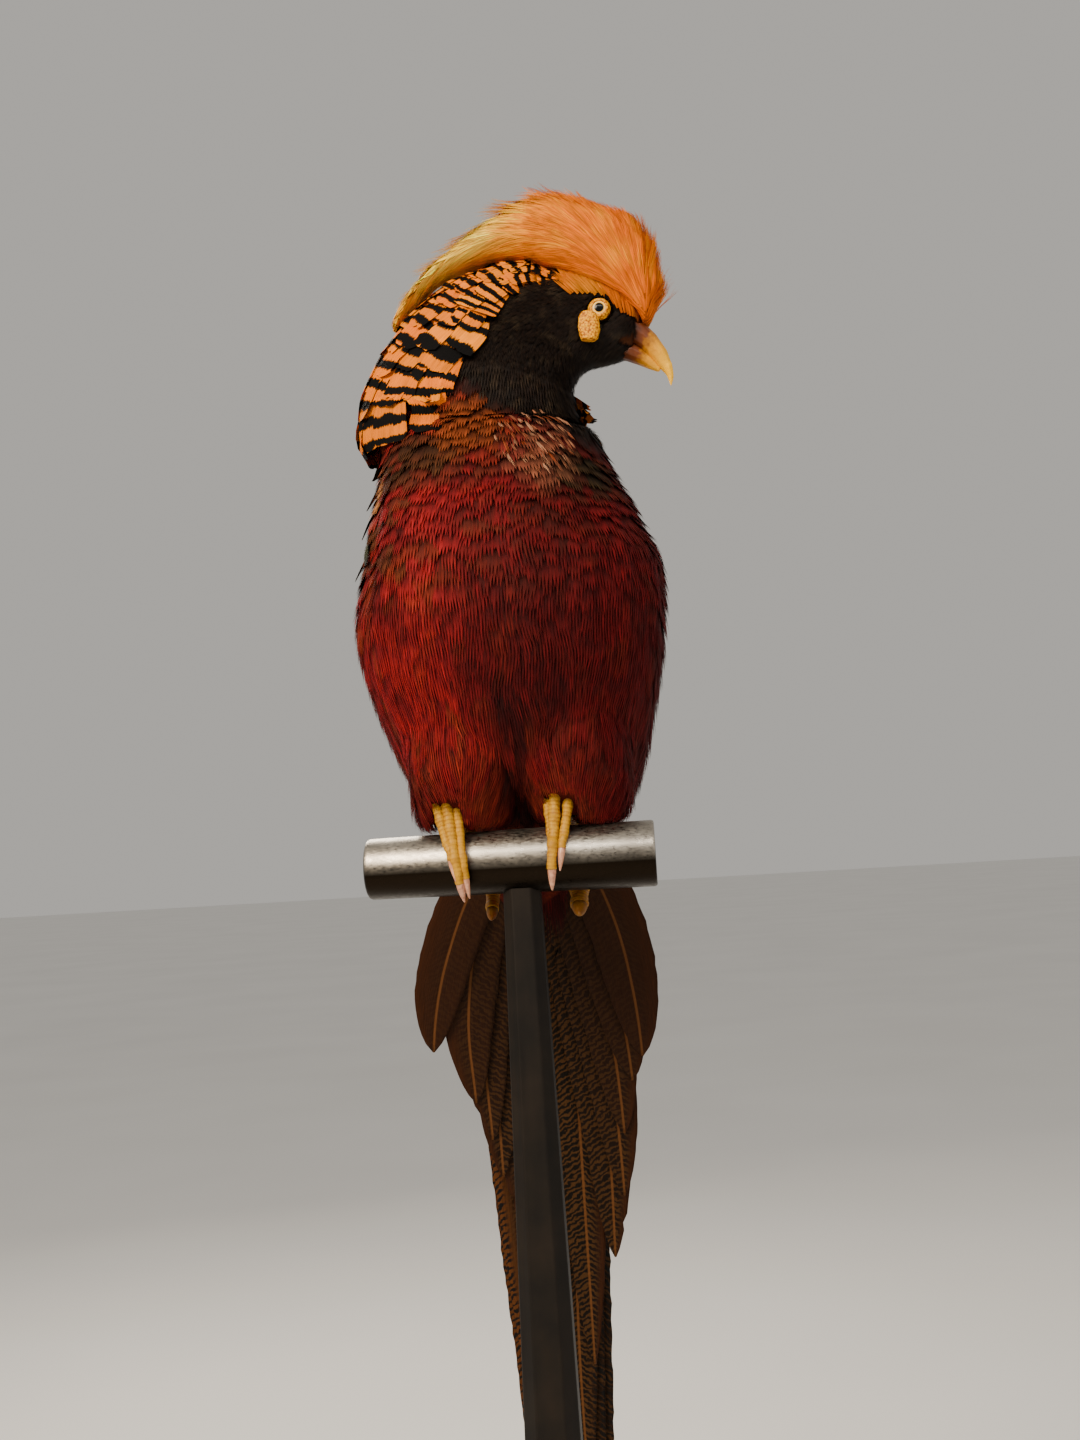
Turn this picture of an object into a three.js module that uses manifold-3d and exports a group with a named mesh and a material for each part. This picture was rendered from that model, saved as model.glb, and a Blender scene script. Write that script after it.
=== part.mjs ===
// A male golden pheasant, mounted on a T-shaped metal perch. Millimetres, +Z up, floor at z = 0.
// The bird faces -Y. Its head is turned to its own left, which is +X. The perch bar lies along X.
import * as THREE from 'three';
import { mergeVertices } from 'three/addons/utils/BufferGeometryUtils.js';
import Module from 'manifold-3d';

const wasm = await Module();
wasm.setup();

const GAP = 0.3; // clearance that pieces keep where they meet
const BAR_HEIGHT = 770; // axis of the perch bar above the floor
const DEGREE = Math.PI / 180;
const X_AXIS = new THREE.Vector3(1, 0, 0);
const Y_AXIS = new THREE.Vector3(0, 1, 0);

const model = new THREE.Group();

// ---------------------------------------------------------------- materials

function finish(color, roughness, metalness = 0) {
  return new THREE.MeshStandardMaterial({ color, roughness, metalness });
}

const MATERIAL = {
  crimson: finish(0x82140f, 0.75),
  face: finish(0x1e160c, 0.85),
  crest: finish(0xe6963c, 0.7),
  cape: finish(0xeb9646, 0.7),
  wing: finish(0x3a1a14, 0.7),
  tail: finish(0x6a4420, 0.7),
  scarlet: finish(0xb03018, 0.7),
  horn: finish(0xe1b446, 0.45),
  claw: finish(0xe1aa8c, 0.45),
  scale: finish(0xd7af5f, 0.6),
  wattle: finish(0xe6be5a, 0.6),
  eye: finish(0xebc878, 0.1),
  metal: finish(0x4a4844, 0.4, 0.9),
  post: finish(0x3c3730, 0.6, 0.6),
};

// ---------------------------------------------------------------- solids

// A point of the bird, with its height counted from the axis of the perch bar.
function at(x, y, z) {
  return new THREE.Vector3(x, y, z + BAR_HEIGHT);
}

// A smooth curve through points, read by a parameter from 0 to 1.
function through(points) {
  const curve = new THREE.CatmullRomCurve3(points, false, 'centripetal');
  return (t) => curve.getPoint(THREE.MathUtils.clamp(t, 0, 1));
}

// A smooth run of numbers at even steps, read the same way.
function run(...values) {
  const last = values.length - 1;
  return (t) => {
    const place = THREE.MathUtils.clamp(t, 0, 1) * last;
    const i = Math.min(Math.floor(place), last - 1);
    const [p0, p1, p2, p3] = [i - 1, i, i + 1, i + 2].map(
      (k) => values[THREE.MathUtils.clamp(k, 0, last)],
    );
    const f = place - i;
    return p1 + 0.5 * f * (p2 - p0 + f * (2 * p0 - 5 * p1 + 4 * p2 - p3 + f * (3 * (p1 - p2) + p3 - p0)));
  };
}

// A closed solid from a stack of rings, each with the same number of points.
function solidFromRings(rings) {
  const sides = rings[0].length;
  const points = rings.flat();
  const triangles = [];
  for (let i = 0; i + 1 < rings.length; i += 1) {
    for (let k = 0; k < sides; k += 1) {
      const next = (k + 1) % sides;
      const [a, b, c, d] = [i * sides + k, i * sides + next, (i + 1) * sides + k, (i + 1) * sides + next];
      triangles.push(a, b, d, a, d, c);
    }
  }
  for (const [start, turned] of [[0, true], [(rings.length - 1) * sides, false]]) {
    const middle = points.length;
    const sum = new THREE.Vector3();
    for (let k = 0; k < sides; k += 1) sum.add(points[start + k]);
    points.push(sum.divideScalar(sides));
    for (let k = 0; k < sides; k += 1) {
      const pair = [start + k, start + ((k + 1) % sides)];
      if (turned) pair.reverse();
      triangles.push(middle, ...pair);
    }
  }
  return toManifold(points, triangles);
}

// manifold-3d takes the mesh with its faces outwards, so an inside-out one is turned round.
function toManifold(points, triangles) {
  let volume = 0;
  for (let i = 0; i < triangles.length; i += 3) {
    const [a, b, c] = [0, 1, 2].map((k) => points[triangles[i + k]]);
    volume += a.dot(b.clone().cross(c));
  }
  const order = volume < 0 ? triangles.slice().reverse() : triangles;
  const geometry = new THREE.BufferGeometry().setFromPoints(points);
  geometry.setIndex(order);
  return geometryToManifold(geometry);
}

function geometryToManifold(geometry) {
  geometry.deleteAttribute('normal');
  geometry.deleteAttribute('uv');
  const merged = mergeVertices(geometry, 1e-4);
  return new wasm.Manifold(new wasm.Mesh({
    numProp: 3,
    vertProperties: Float32Array.from(merged.attributes.position.array),
    triVerts: Uint32Array.from(merged.index.array),
  }));
}

// Cutting can leave loose crumbs, so only the largest body is kept.
function largest(solid) {
  return solid.decompose().reduce((best, body) => (body.volume() > best.volume() ? body : best));
}

function cut(solid, ...tools) {
  return largest(tools.reduce((rest, tool) => rest.subtract(tool), solid));
}

function join(...solids) {
  return solids.reduce((whole, solid) => whole.add(solid));
}

function place(name, solid, material) {
  const mesh = solid.getMesh();
  const geometry = new THREE.BufferGeometry();
  geometry.setAttribute('position', new THREE.Float32BufferAttribute(mesh.vertProperties, 3));
  geometry.setIndex(Array.from(mesh.triVerts));
  const node = new THREE.Mesh(geometry, material);
  node.name = name;
  model.add(node);
}

// One cross-section: an oval with half-sizes a and b along the unit vectors u and v.
function ovalPoint({ centre, u, v, a, b, power = 2 }, angle, pad = 0) {
  const shape = (value) => Math.sign(value) * Math.abs(value) ** (2 / power);
  return centre.clone()
    .addScaledVector(u, (a + pad) * shape(Math.cos(angle)))
    .addScaledVector(v, (b + pad) * shape(Math.sin(angle)));
}

// A solid lofted over section(t), from one t to another; pad makes it thicker all round.
function loft(section, { from = 0, to = 1, steps, sides, pad = 0 }) {
  const rings = [];
  for (let i = 0; i <= steps; i += 1) {
    const oval = section(from + ((to - from) * i) / steps);
    if (pad && (i === 0 || i === steps)) {
      const outward = new THREE.Vector3().crossVectors(oval.u, oval.v).normalize();
      const inner = section(from + ((to - from) * (i === 0 ? 1 : steps - 1)) / steps).centre;
      if (outward.dot(oval.centre.clone().sub(inner)) < 0) outward.negate();
      oval.centre = oval.centre.clone().addScaledVector(outward, pad);
    }
    rings.push(Array.from({ length: sides }, (_, k) => ovalPoint(oval, (k / sides) * 2 * Math.PI, pad)));
  }
  return solidFromRings(rings);
}

// Sections that reach from a front outline to a back outline, both seen square to the across axis.
function betweenOutlines({ front, back, across, halfWidth, shift = () => 0, power = 2 }) {
  return (t) => {
    const [f, b] = [front(t), back(t)];
    return {
      centre: f.clone().add(b).multiplyScalar(0.5).addScaledVector(across, shift(t)),
      u: across,
      v: b.clone().sub(f).normalize(),
      a: halfWidth(t),
      b: f.distanceTo(b) / 2,
      power,
    };
  };
}

// Round sections of a given radius along a path.
function tube(path, radius, side) {
  return (t) => {
    const ahead = path(Math.min(t + 0.01, 1)).sub(path(Math.max(t - 0.01, 0))).normalize();
    const v = new THREE.Vector3().crossVectors(ahead, side).normalize();
    return { centre: path(t), u: side, v, a: radius(t), b: radius(t) };
  };
}

// A thin slab that lies on a surface: point(u, v, lift) gives the place lift above it. Its inner
// side is sunk below the surface, and a cut by what it lies on leaves the shell.
const SUNK = -2;

function shell(point, lift, across, along) {
  const rings = [];
  for (let i = 0; i <= along; i += 1) {
    const t = i / along;
    const outer = [];
    const inner = [];
    for (let k = 0; k <= across; k += 1) {
      const s = k / across;
      outer.push(point(s, t, GAP + lift(s, t)));
      inner.push(point(s, t, SUNK));
    }
    rings.push([...outer, ...inner.reverse()]);
  }
  return solidFromStrips(rings, across + 1);
}

// Rings whose first half is the outside of a shell and whose second half is the inside, run back.
function solidFromStrips(rings, half) {
  const sides = 2 * half;
  const points = rings.flat();
  const triangles = [];
  const quad = (a, b, c, d) => triangles.push(a, b, c, a, c, d);
  for (let i = 0; i + 1 < rings.length; i += 1) {
    for (let k = 0; k < sides; k += 1) {
      const next = (k + 1) % sides;
      quad(i * sides + k, i * sides + next, (i + 1) * sides + next, (i + 1) * sides + k);
    }
  }
  const end = (rings.length - 1) * sides;
  for (let k = 0; k + 1 < half; k += 1) {
    quad(k, sides - 1 - k, sides - 2 - k, k + 1);
    quad(end + k, end + k + 1, end + sides - 2 - k, end + sides - 1 - k);
  }
  return toManifold(points, triangles);
}

// A place on a lofted surface, pushed out along the surface's own normal.
function onLoft(section, t, angle, lift) {
  const step = 0.01;
  const here = ovalPoint(section(t), angle);
  const along = ovalPoint(section(Math.min(t + step, 1)), angle)
    .sub(ovalPoint(section(Math.max(t - step, 0)), angle));
  const round = ovalPoint(section(t), angle + step).sub(ovalPoint(section(t), angle - step));
  const normal = new THREE.Vector3().crossVectors(round, along).normalize();
  if (normal.dot(here.clone().sub(section(t).centre)) < 0) normal.negate();
  return here.addScaledVector(normal, lift);
}

// ---------------------------------------------------------------- trunk

// Breast and back outlines, seen from the side, from the vent up to the foot of the neck.
const trunkSection = betweenOutlines({
  front: through([
    at(0, 70, -30), at(0, 54, -10), at(0, 30, 14), at(0, -4, 34), at(0, -36, 62),
    at(0, -56, 98), at(0, -62, 132), at(0, -57, 166), at(0, -44, 200),
  ]),
  back: through([
    at(0, 88, -24), at(0, 97, -4), at(0, 98, 24), at(0, 93, 52), at(0, 84, 84),
    at(0, 71, 118), at(0, 58, 148), at(0, 45, 176), at(0, 34, 200),
  ]),
  across: X_AXIS,
  halfWidth: run(12, 30, 45, 58, 69, 75.5, 75, 67, 54),
  shift: run(2, 4, 6, 6.5, 5.5, 5.5, 5.5, 4, -1),
  power: 2.15,
});
const trunkLoft = { steps: 12, sides: 18 };

// ---------------------------------------------------------------- neck and head

const HEAD_MIDDLE_Y = -5; // the head's own plane of symmetry
const HEAD_PITCH = -28 * DEGREE; // the bill points down by this much
const EYE_POINT = at(57.8, HEAD_MIDDLE_Y, 253.6);
const forward = new THREE.Vector3(Math.cos(HEAD_PITCH), 0, Math.sin(HEAD_PITCH));
const upward = new THREE.Vector3(-Math.sin(HEAD_PITCH), 0, Math.cos(HEAD_PITCH));

// A place in the head's own directions: forward, up and to the side, counted from between the eyes.
function inHead(ahead, up, side = 0) {
  return EYE_POINT.clone()
    .addScaledVector(forward, ahead)
    .addScaledVector(upward, up)
    .addScaledVector(Y_AXIS, side);
}

// The throat and the nape, from the shoulders up and over to the root of the bill.
const neckSection = betweenOutlines({
  front: through([
    at(49, -5, 192), at(46, -5, 208), at(44, -5, 220), at(48, -5, 227), inHead(6, -24),
    inHead(13, -20), inHead(17.5, -16), inHead(20.5, -12.5), inHead(22, -9),
  ]),
  back: through([
    at(-53, -5, 192), at(-53, -5, 214), at(-45, -5, 236), at(-30, -5, 257), at(-9, -5, 273),
    at(20, -5, 281), at(47, -5, 278), inHead(8, 15.5), inHead(18, 7.5),
  ]),
  across: Y_AXIS,
  halfWidth: run(37, 34, 30, 26, 21, 17, 14.8, 13, 8.5),
});
const neckLoft = { steps: 12, sides: 14 };

// The flesh is made whole, then parted by two planes, each given by a point and the way it faces.
const flesh = join(loft(trunkSection, trunkLoft), loft(neckSection, neckLoft));
const fleshRoom = join(
  loft(trunkSection, { ...trunkLoft, pad: GAP }),
  loft(neckSection, { ...neckLoft, pad: GAP }),
);
const shoulderPlane = { point: at(0, 0, 212), facing: new THREE.Vector3(0.19, 0, 1).normalize() };
const headPlane = { point: at(38, 0, 252), facing: new THREE.Vector3(1, 0, 0.25).normalize() };

function beyond(solid, { point, facing }) {
  return largest(solid.trimByPlane(facing.toArray(), point.dot(facing) + GAP / 2));
}

function before(solid, { point, facing }) {
  return beyond(solid, { point, facing: facing.clone().negate() });
}

const EYE_RADIUS = 6;
const EYE_DEPTH = 10.4; // from the head's middle to the middle of the eyeball

function eyeball(side, radius) {
  const sphere = new THREE.SphereGeometry(radius, 10, 7);
  const middle = inHead(0, 0, side * EYE_DEPTH);
  return geometryToManifold(sphere.translate(middle.x, middle.y, middle.z));
}

const sockets = join(eyeball(-1, EYE_RADIUS + GAP), eyeball(1, EYE_RADIUS + GAP));

// The yellow lappet of bare skin below each eye.
function wattle(side) {
  const section = (t) => ({
    centre: at(52.3, HEAD_MIDDLE_Y + side * 14.8, THREE.MathUtils.lerp(252, 238.6, t)),
    u: X_AXIS,
    v: Y_AXIS,
    a: 5.2 * Math.sin(Math.PI * (0.12 + 0.76 * t)) ** 0.4,
    b: 3,
    power: 2.4,
  });
  return loft(section, { steps: 5, sides: 10 });
}

// The bill is two halves that meet along the gape, each between its own two outlines.
const gape = [inHead(13, -5.6), inHead(24, -6.4), inHead(34, -9.6), inHead(42, -13)];
const upperBill = betweenOutlines({
  front: through(gape),
  back: through([inHead(15.5, 8), inHead(27, 4.6), inHead(38.5, -3.6), inHead(43.6, -12)]),
  across: Y_AXIS,
  halfWidth: run(7.6, 6.4, 4.2, 1.2),
});
const lowerBill = betweenOutlines({
  front: through([inHead(15, -15), inHead(24.3, -13), inHead(30.5, -13), inHead(36, -12.6)]),
  back: through([inHead(13, -4), inHead(21, -4.4), inHead(29, -6.4), inHead(36.4, -10)]),
  across: Y_AXIS,
  halfWidth: run(6.6, 5.6, 4, 1.2),
});
// The hooked nail at the very end of the upper half.
const billNail = betweenOutlines({
  front: through([inHead(39, -11.5), inHead(41.5, -13.6), inHead(43.6, -16.2)]),
  back: through([inHead(40.5, -6), inHead(43.4, -11.5), inHead(44.3, -16.5)]),
  across: Y_AXIS,
  halfWidth: run(3.4, 1.9, 0.5),
});

// ---------------------------------------------------------------- crest and cape

// Long silky feathers that stand up from the forehead and fall back over the nape.
const crestSection = betweenOutlines({
  front: through([
    at(78, -5, 247), at(72, -5, 252), at(60, -5, 261), at(42, -5, 274), at(19, -5, 284),
    at(-3, -5, 284), at(-19, -5, 277), at(-31, -5, 266), at(-41, -5, 254),
  ]),
  back: through([
    at(81.5, -5, 250), at(89, -5, 274), at(81, -5, 299), at(60, -5, 312), at(38, -5, 319),
    at(9, -5, 310), at(-16, -5, 292), at(-33, -5, 274), at(-42.5, -5, 258),
  ]),
  across: Y_AXIS,
  halfWidth: run(7, 14, 17.5, 19, 18, 15.5, 13.5, 11, 5),
  power: 2.5,
});
const crestLoft = { steps: 11, sides: 12 };
const crestBlock = loft(crestSection, crestLoft);
const crestRoom = loft(crestSection, { ...crestLoft, pad: 2 * GAP });

// The barred ruff: a shell round the nape, longer on the far side, where it reaches the throat.
const capeNear = run(0.84, 0.96, 1, 0.92, 0.72);
const capeFar = run(-0.38, -0.34, -0.2, 0, 0.06);

function capePoint(s, t, lift) {
  const angle = THREE.MathUtils.lerp(capeNear(t), capeFar(t), s) * Math.PI;
  return onLoft(neckSection, THREE.MathUtils.lerp(0.02, 0.66, t), angle, lift);
}

// It is thickest down the nape, and flares a little at its lower edge.
const capeLift = (s, t) => 2.2 + 5 * Math.sin(Math.PI * s) ** 0.7 * (1 - 0.4 * t) + 2.5 * (1 - t) ** 3;

// ---------------------------------------------------------------- wings

// A folded wing lies along the flank behind the widest line of the trunk.
const WING_FRONT = run(0.12, 0.1, 0.1, 0.13, 0.2, 0.3, 0.4);
const WING_BACK = run(0.2, 0.33, 0.39, 0.42, 0.43, 0.44, 0.45);

function wing(side) {
  const point = (s, t, lift) => {
    const turn = THREE.MathUtils.lerp(WING_FRONT(t), WING_BACK(t), s) * Math.PI;
    const angle = side > 0 ? turn : Math.PI - turn;
    return onLoft(trunkSection, THREE.MathUtils.lerp(0.9, 0.14, t), angle, lift);
  };
  const lift = (s, t) => (
    1 + 5 * Math.sin(Math.PI * s) ** 0.6 * Math.sin(Math.PI * (0.08 + 0.84 * t)) ** 0.5
  );
  return shell(point, lift, 6, 9);
}

// ---------------------------------------------------------------- stand

const BAR_LENGTH = 135;
const BAR_RADIUS_LEFT = 14.2; // the bar is a little thicker at +X
const BAR_RADIUS_RIGHT = 15.4;
const BAR_ROUNDING = 2;
const POST_TOP_WIDTH = 17;
const POST_FOOT_WIDTH = 42;
const POST_X = 4.5;
const BASE_RADIUS = 165;
const BASE_THICKNESS = 12;
const BASE_ROUNDING = 2.5;

function bar(pad = 0) {
  const half = BAR_LENGTH / 2;
  const [low, high] = [BAR_RADIUS_LEFT + pad, BAR_RADIUS_RIGHT + pad];
  const profile = [
    [0, -half], [low - BAR_ROUNDING, -half], [low - 0.6, -half + 0.7], [low, -half + BAR_ROUNDING],
    [high, half - BAR_ROUNDING / 2], [high - BAR_ROUNDING / 2, half], [0, half],
  ].map(([radius, along]) => new THREE.Vector2(radius, along));
  const geometry = new THREE.LatheGeometry(profile, 20);
  geometry.rotateZ(-Math.PI / 2).translate(0, 0, BAR_HEIGHT);
  return geometryToManifold(geometry);
}

// A square post with its corners planed off, wider at the foot.
function postSection(t) {
  const width = THREE.MathUtils.lerp(POST_TOP_WIDTH, POST_FOOT_WIDTH, t);
  const height = THREE.MathUtils.lerp(BAR_HEIGHT, BASE_THICKNESS + GAP, t);
  const corner = width * 0.24;
  const half = width / 2;
  const outline = [
    [half, half - corner], [half - corner, half], [corner - half, half], [-half, half - corner],
    [-half, corner - half], [corner - half, -half], [half - corner, -half], [half, corner - half],
  ];
  return outline.map(([x, y]) => new THREE.Vector3(POST_X + x, y, height));
}

function base() {
  const [r, h, c] = [BASE_RADIUS, BASE_THICKNESS, BASE_ROUNDING];
  const profile = [[0, 0], [r - 1, 0], [r, 1], [r, h - c], [r - c * 0.3, h - c * 0.3], [r - c, h], [0, h]]
    .map(([radius, height]) => new THREE.Vector2(radius, height));
  return geometryToManifold(new THREE.LatheGeometry(profile, 36).rotateX(Math.PI / 2));
}

const barRoom = bar(GAP);

// ---------------------------------------------------------------- feet

const TOE_CLEARANCE = 0.6; // skin of the toes to the bar

// A front toe arches up from the foot, then lies down the front of the bar. It runs from x = top to
// x = end, and reach says how far round the bar it goes, from 0 at the top to 180 degrees below.
function frontToe({ top, end, knuckle, reach, radius }) {
  const round = BAR_RADIUS_RIGHT + radius + TOE_CLEARANCE;
  const points = [at(top, 6, knuckle - 6), at(top, -4, knuckle - 0.5), at(top, -11, knuckle - 1.5)];
  for (const s of [0, 0.35, 0.7, 1]) {
    const angle = THREE.MathUtils.lerp(52, reach, s) * DEGREE;
    points.push(at(
      THREE.MathUtils.lerp(top, end, 0.25 + 0.75 * s),
      -round * Math.sin(angle),
      round * Math.cos(angle),
    ));
  }
  return { path: through(points), radius: (t) => radius * (1 - 0.22 * t), end: radius * 0.78 };
}

// The hind toe goes down behind the bar and hooks forward under it.
function hindToe({ top, end, radius }) {
  const path = through([
    at(top, 5, 23), at(top, 14, 18), at((top + end) / 2, 20, 8), at(end, 21.5, -5),
    at(end, 19, -16), at(end, 13, -22.5),
  ]);
  return { path, radius: () => radius, end: radius };
}

const FEET = {
  right: {
    x: -27,
    toes: {
      inner: frontToe({ top: -22.6, end: -18.4, knuckle: 24, reach: 110, radius: 2.6 }),
      middle: frontToe({ top: -28.2, end: -23, knuckle: 28, reach: 116, radius: 3 }),
      outer: frontToe({ top: -33, end: -28.6, knuckle: 25, reach: 82, radius: 2.7 }),
      hind: hindToe({ top: -24, end: -11.5, radius: 3 }),
    },
  },
  left: {
    x: 26,
    toes: {
      inner: frontToe({ top: 19.4, end: 17.2, knuckle: 24, reach: 84, radius: 2.5 }),
      middle: frontToe({ top: 24.4, end: 20.4, knuckle: 28.5, reach: 103, radius: 3 }),
      outer: frontToe({ top: 32, end: 25.8, knuckle: 26.5, reach: 76, radius: 2.7 }),
      hind: hindToe({ top: 27, end: 30, radius: 4.2 }),
    },
  },
};

// The shank goes up and back from the toes into the feathers.
function shank(x) {
  return tube(through([at(x, 0, 25), at(x, 10, 27), at(x, 22, 45), at(x, 34, 66)]), () => 3.6, X_AXIS);
}

function foot({ x, toes }, pad = 0) {
  const parts = Object.values(toes).map(
    (one) => loft(tube(one.path, one.radius, X_AXIS), { steps: 6, sides: 6, pad }),
  );
  return join(loft(shank(x), { steps: 3, sides: 6, pad }), ...parts);
}

const CLAW_LENGTH = 10;
const HIND_CLAW_LENGTH = 8;
const CLAW_TIP = 0.35;

// A claw carries on from the end of its toe and hooks in towards the bar.
function claw({ path, end }, length) {
  const tip = path(1);
  const ahead = tip.clone().sub(path(0.9)).normalize();
  const inward = at(tip.x, 0, 0).sub(tip).projectOnPlane(ahead).normalize();
  const points = [-0.25, 0.3, 0.65, 1].map((s) => tip.clone()
    .addScaledVector(ahead, s * length)
    .addScaledVector(inward, 0.2 * length * s * Math.abs(s)));
  const radius = run(end * 0.92, end * 0.86, end * 0.6, CLAW_TIP);
  return loft(tube(through(points), radius, X_AXIS), { steps: 4, sides: 6 });
}

// ---------------------------------------------------------------- thighs

const THIGH_X = { right: -21, left: 34 }; // where each feathered thigh ends, over the bar
const THIGH_INWARD = run(9, 5, 2, 0); // the thighs lean together towards the top
const THIGH_DEPTH = run(0, 0, 2, 8);
const THIGH_HEIGHT = run(96, 70, 44, 18.5);
const THIGH_HALF_WIDTH = run(22, 29, 27.5, 22.5);
const THIGH_HALF_DEPTH = run(25, 32, 31, 18);

function thigh(name, side) {
  const section = (t) => ({
    centre: at(THIGH_X[name] - side * THIGH_INWARD(t), THIGH_DEPTH(t), THIGH_HEIGHT(t)),
    u: X_AXIS,
    v: Y_AXIS,
    a: THIGH_HALF_WIDTH(t),
    b: THIGH_HALF_DEPTH(t),
  });
  return loft(section, { steps: 6, sides: 12 });
}

// ---------------------------------------------------------------- tail

const TAIL_LEAN = 12 * DEGREE; // off the vertical, away to the back
const TAIL_DRIFT = -0.009; // and a trace towards -X on the way down
const TAIL_ROOT = at(2, 58, 36);
const tailDown = new THREE.Vector3(TAIL_DRIFT, Math.sin(TAIL_LEAN), -Math.cos(TAIL_LEAN));
const tailOut = new THREE.Vector3(0, Math.cos(TAIL_LEAN), Math.sin(TAIL_LEAN));
const TAIL_BOW = 9; // the long feathers arch away from the post by this much
const TAIL_LENGTH = 695;
const LAYER = 1.15; // the feathers lie this far apart, the middle pair furthest back

// A flat feather: a thin blade with a rib down its middle.
function feather({ length, halfWidth, fullness, sideways, side, depth }) {
  const rings = [];
  const steps = 6;
  for (let i = 0; i <= steps; i += 1) {
    const t = Math.sin((0.5 * Math.PI * i) / steps) ** 1.2;
    const rise = Math.sin(0.5 * Math.PI * Math.min(1, 0.2 + t / 0.3));
    const taper = (1 - Math.max(0, (t - 0.25) / 0.75) ** fullness) ** 0.7;
    const width = Math.max(1, halfWidth * rise * taper);
    const middle = TAIL_ROOT.clone()
      .addScaledVector(tailDown, length * t)
      .addScaledVector(tailOut, depth + TAIL_BOW * Math.sin((Math.PI * length * t) / TAIL_LENGTH))
      .addScaledVector(X_AXIS, side * sideways(t));
    const [edge, rib] = [0.28, THREE.MathUtils.lerp(0.46, 0.3, t)];
    const outline = [[-1, -edge], [0, -rib], [1, -edge], [1, edge], [0, rib], [-1, edge]];
    rings.push(outline.map(([x, y]) => middle.clone()
      .addScaledVector(X_AXIS, x * width)
      .addScaledVector(tailOut, y)));
  }
  return solidFromRings(rings);
}

// Nine pairs, counted from the middle outwards. A pair gives each side's length, its half width,
// how full it stays towards the tip, and how far its middle runs out to the side, root to tip.
const TAIL_PAIRS = [
  { right: 690, left: TAIL_LENGTH, halfWidth: 20, fullness: 1.25, sideways: run(8, 14, 9.5, 6, 2) },
  { right: 560, left: 545, halfWidth: 19, fullness: 1.4, sideways: run(8, 15, 12.5, 8, 4) },
  { right: 420, left: 410, halfWidth: 17, fullness: 1.8, sideways: run(8, 15, 16, 13, 9) },
  { right: 320, left: 325, halfWidth: 16, fullness: 2.2, sideways: run(8, 16, 18, 18, 15) },
  { right: 245, left: 262, halfWidth: 16, fullness: 3, sideways: run(8, 18, 24, 28, 27) },
  { right: 212, left: 226, halfWidth: 16, fullness: 3, sideways: run(8, 19, 28, 34, 36) },
  { right: 190, left: 190, halfWidth: 16, fullness: 3, sideways: run(8, 20, 31, 38, 41) },
  { right: 168, left: 160, halfWidth: 16, fullness: 3.4, sideways: run(8, 21, 34, 43, 47) },
  { right: 144, left: 146, halfWidth: 16, fullness: 3.6, sideways: run(8, 22, 37, 47, 52) },
];

// ---------------------------------------------------------------- the bird

const aboveShoulders = beyond(flesh, shoulderPlane);
place('trunk', before(flesh, shoulderPlane), MATERIAL.crimson);
place('neck', before(aboveShoulders, headPlane), MATERIAL.face);
place('head', cut(beyond(aboveShoulders, headPlane), sockets), MATERIAL.face);
place('crest', cut(crestBlock, fleshRoom), MATERIAL.crest);
place('cape', cut(shell(capePoint, capeLift, 9, 8), fleshRoom, crestRoom), MATERIAL.cape);

const nail = loft(billNail, { steps: 3, sides: 6 });
const upperHalf = join(loft(upperBill, { steps: 5, sides: 10 }), nail);
const upperRoom = loft(upperBill, { steps: 5, sides: 10, pad: GAP });
place('bill_upper', cut(upperHalf, fleshRoom, crestRoom), MATERIAL.horn);
place('bill_lower', cut(loft(lowerBill, { steps: 4, sides: 10 }), fleshRoom, upperRoom), MATERIAL.horn);

for (const [name, side] of [['right', -1], ['left', 1]]) {
  const { toes } = FEET[name];
  const footRoom = foot(FEET[name], GAP);
  place(`eye_${name}`, eyeball(side, EYE_RADIUS), MATERIAL.eye);
  place(`wattle_${name}`, cut(wattle(side), fleshRoom, sockets), MATERIAL.wattle);
  place(`wing_${name}`, cut(wing(side), fleshRoom), MATERIAL.wing);
  place(`thigh_${name}`, cut(thigh(name, side), fleshRoom, footRoom, barRoom), MATERIAL.crimson);
  place(`foot_${name}`, cut(foot(FEET[name]), fleshRoom, barRoom), MATERIAL.scale);
  for (const [toeName, toe] of Object.entries(toes)) {
    const length = toeName === 'hind' ? HIND_CLAW_LENGTH : CLAW_LENGTH;
    place(`claw_${name}_${toeName}`, cut(claw(toe, length), footRoom, barRoom), MATERIAL.claw);
  }
  TAIL_PAIRS.forEach((pair, i) => {
    const layer = (side > 0 ? 1 : 0) + 2 * (TAIL_PAIRS.length - 1 - i);
    const blade = feather({ ...pair, length: pair[name], side, depth: layer * LAYER });
    place(`tail_${i + 1}_${name}`, cut(blade, fleshRoom), MATERIAL.tail);
  });
}

const post = solidFromRings([postSection(0), postSection(1)]);
place('stand_bar', bar(), MATERIAL.metal);
place('stand_post', cut(post, barRoom), MATERIAL.post);
place('stand_base', base(), MATERIAL.post);

export default model;
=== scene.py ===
import math

import bmesh
import bpy
import numpy as np
from mathutils import Matrix, Vector, noise
from mathutils.bvhtree import BVHTree


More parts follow.
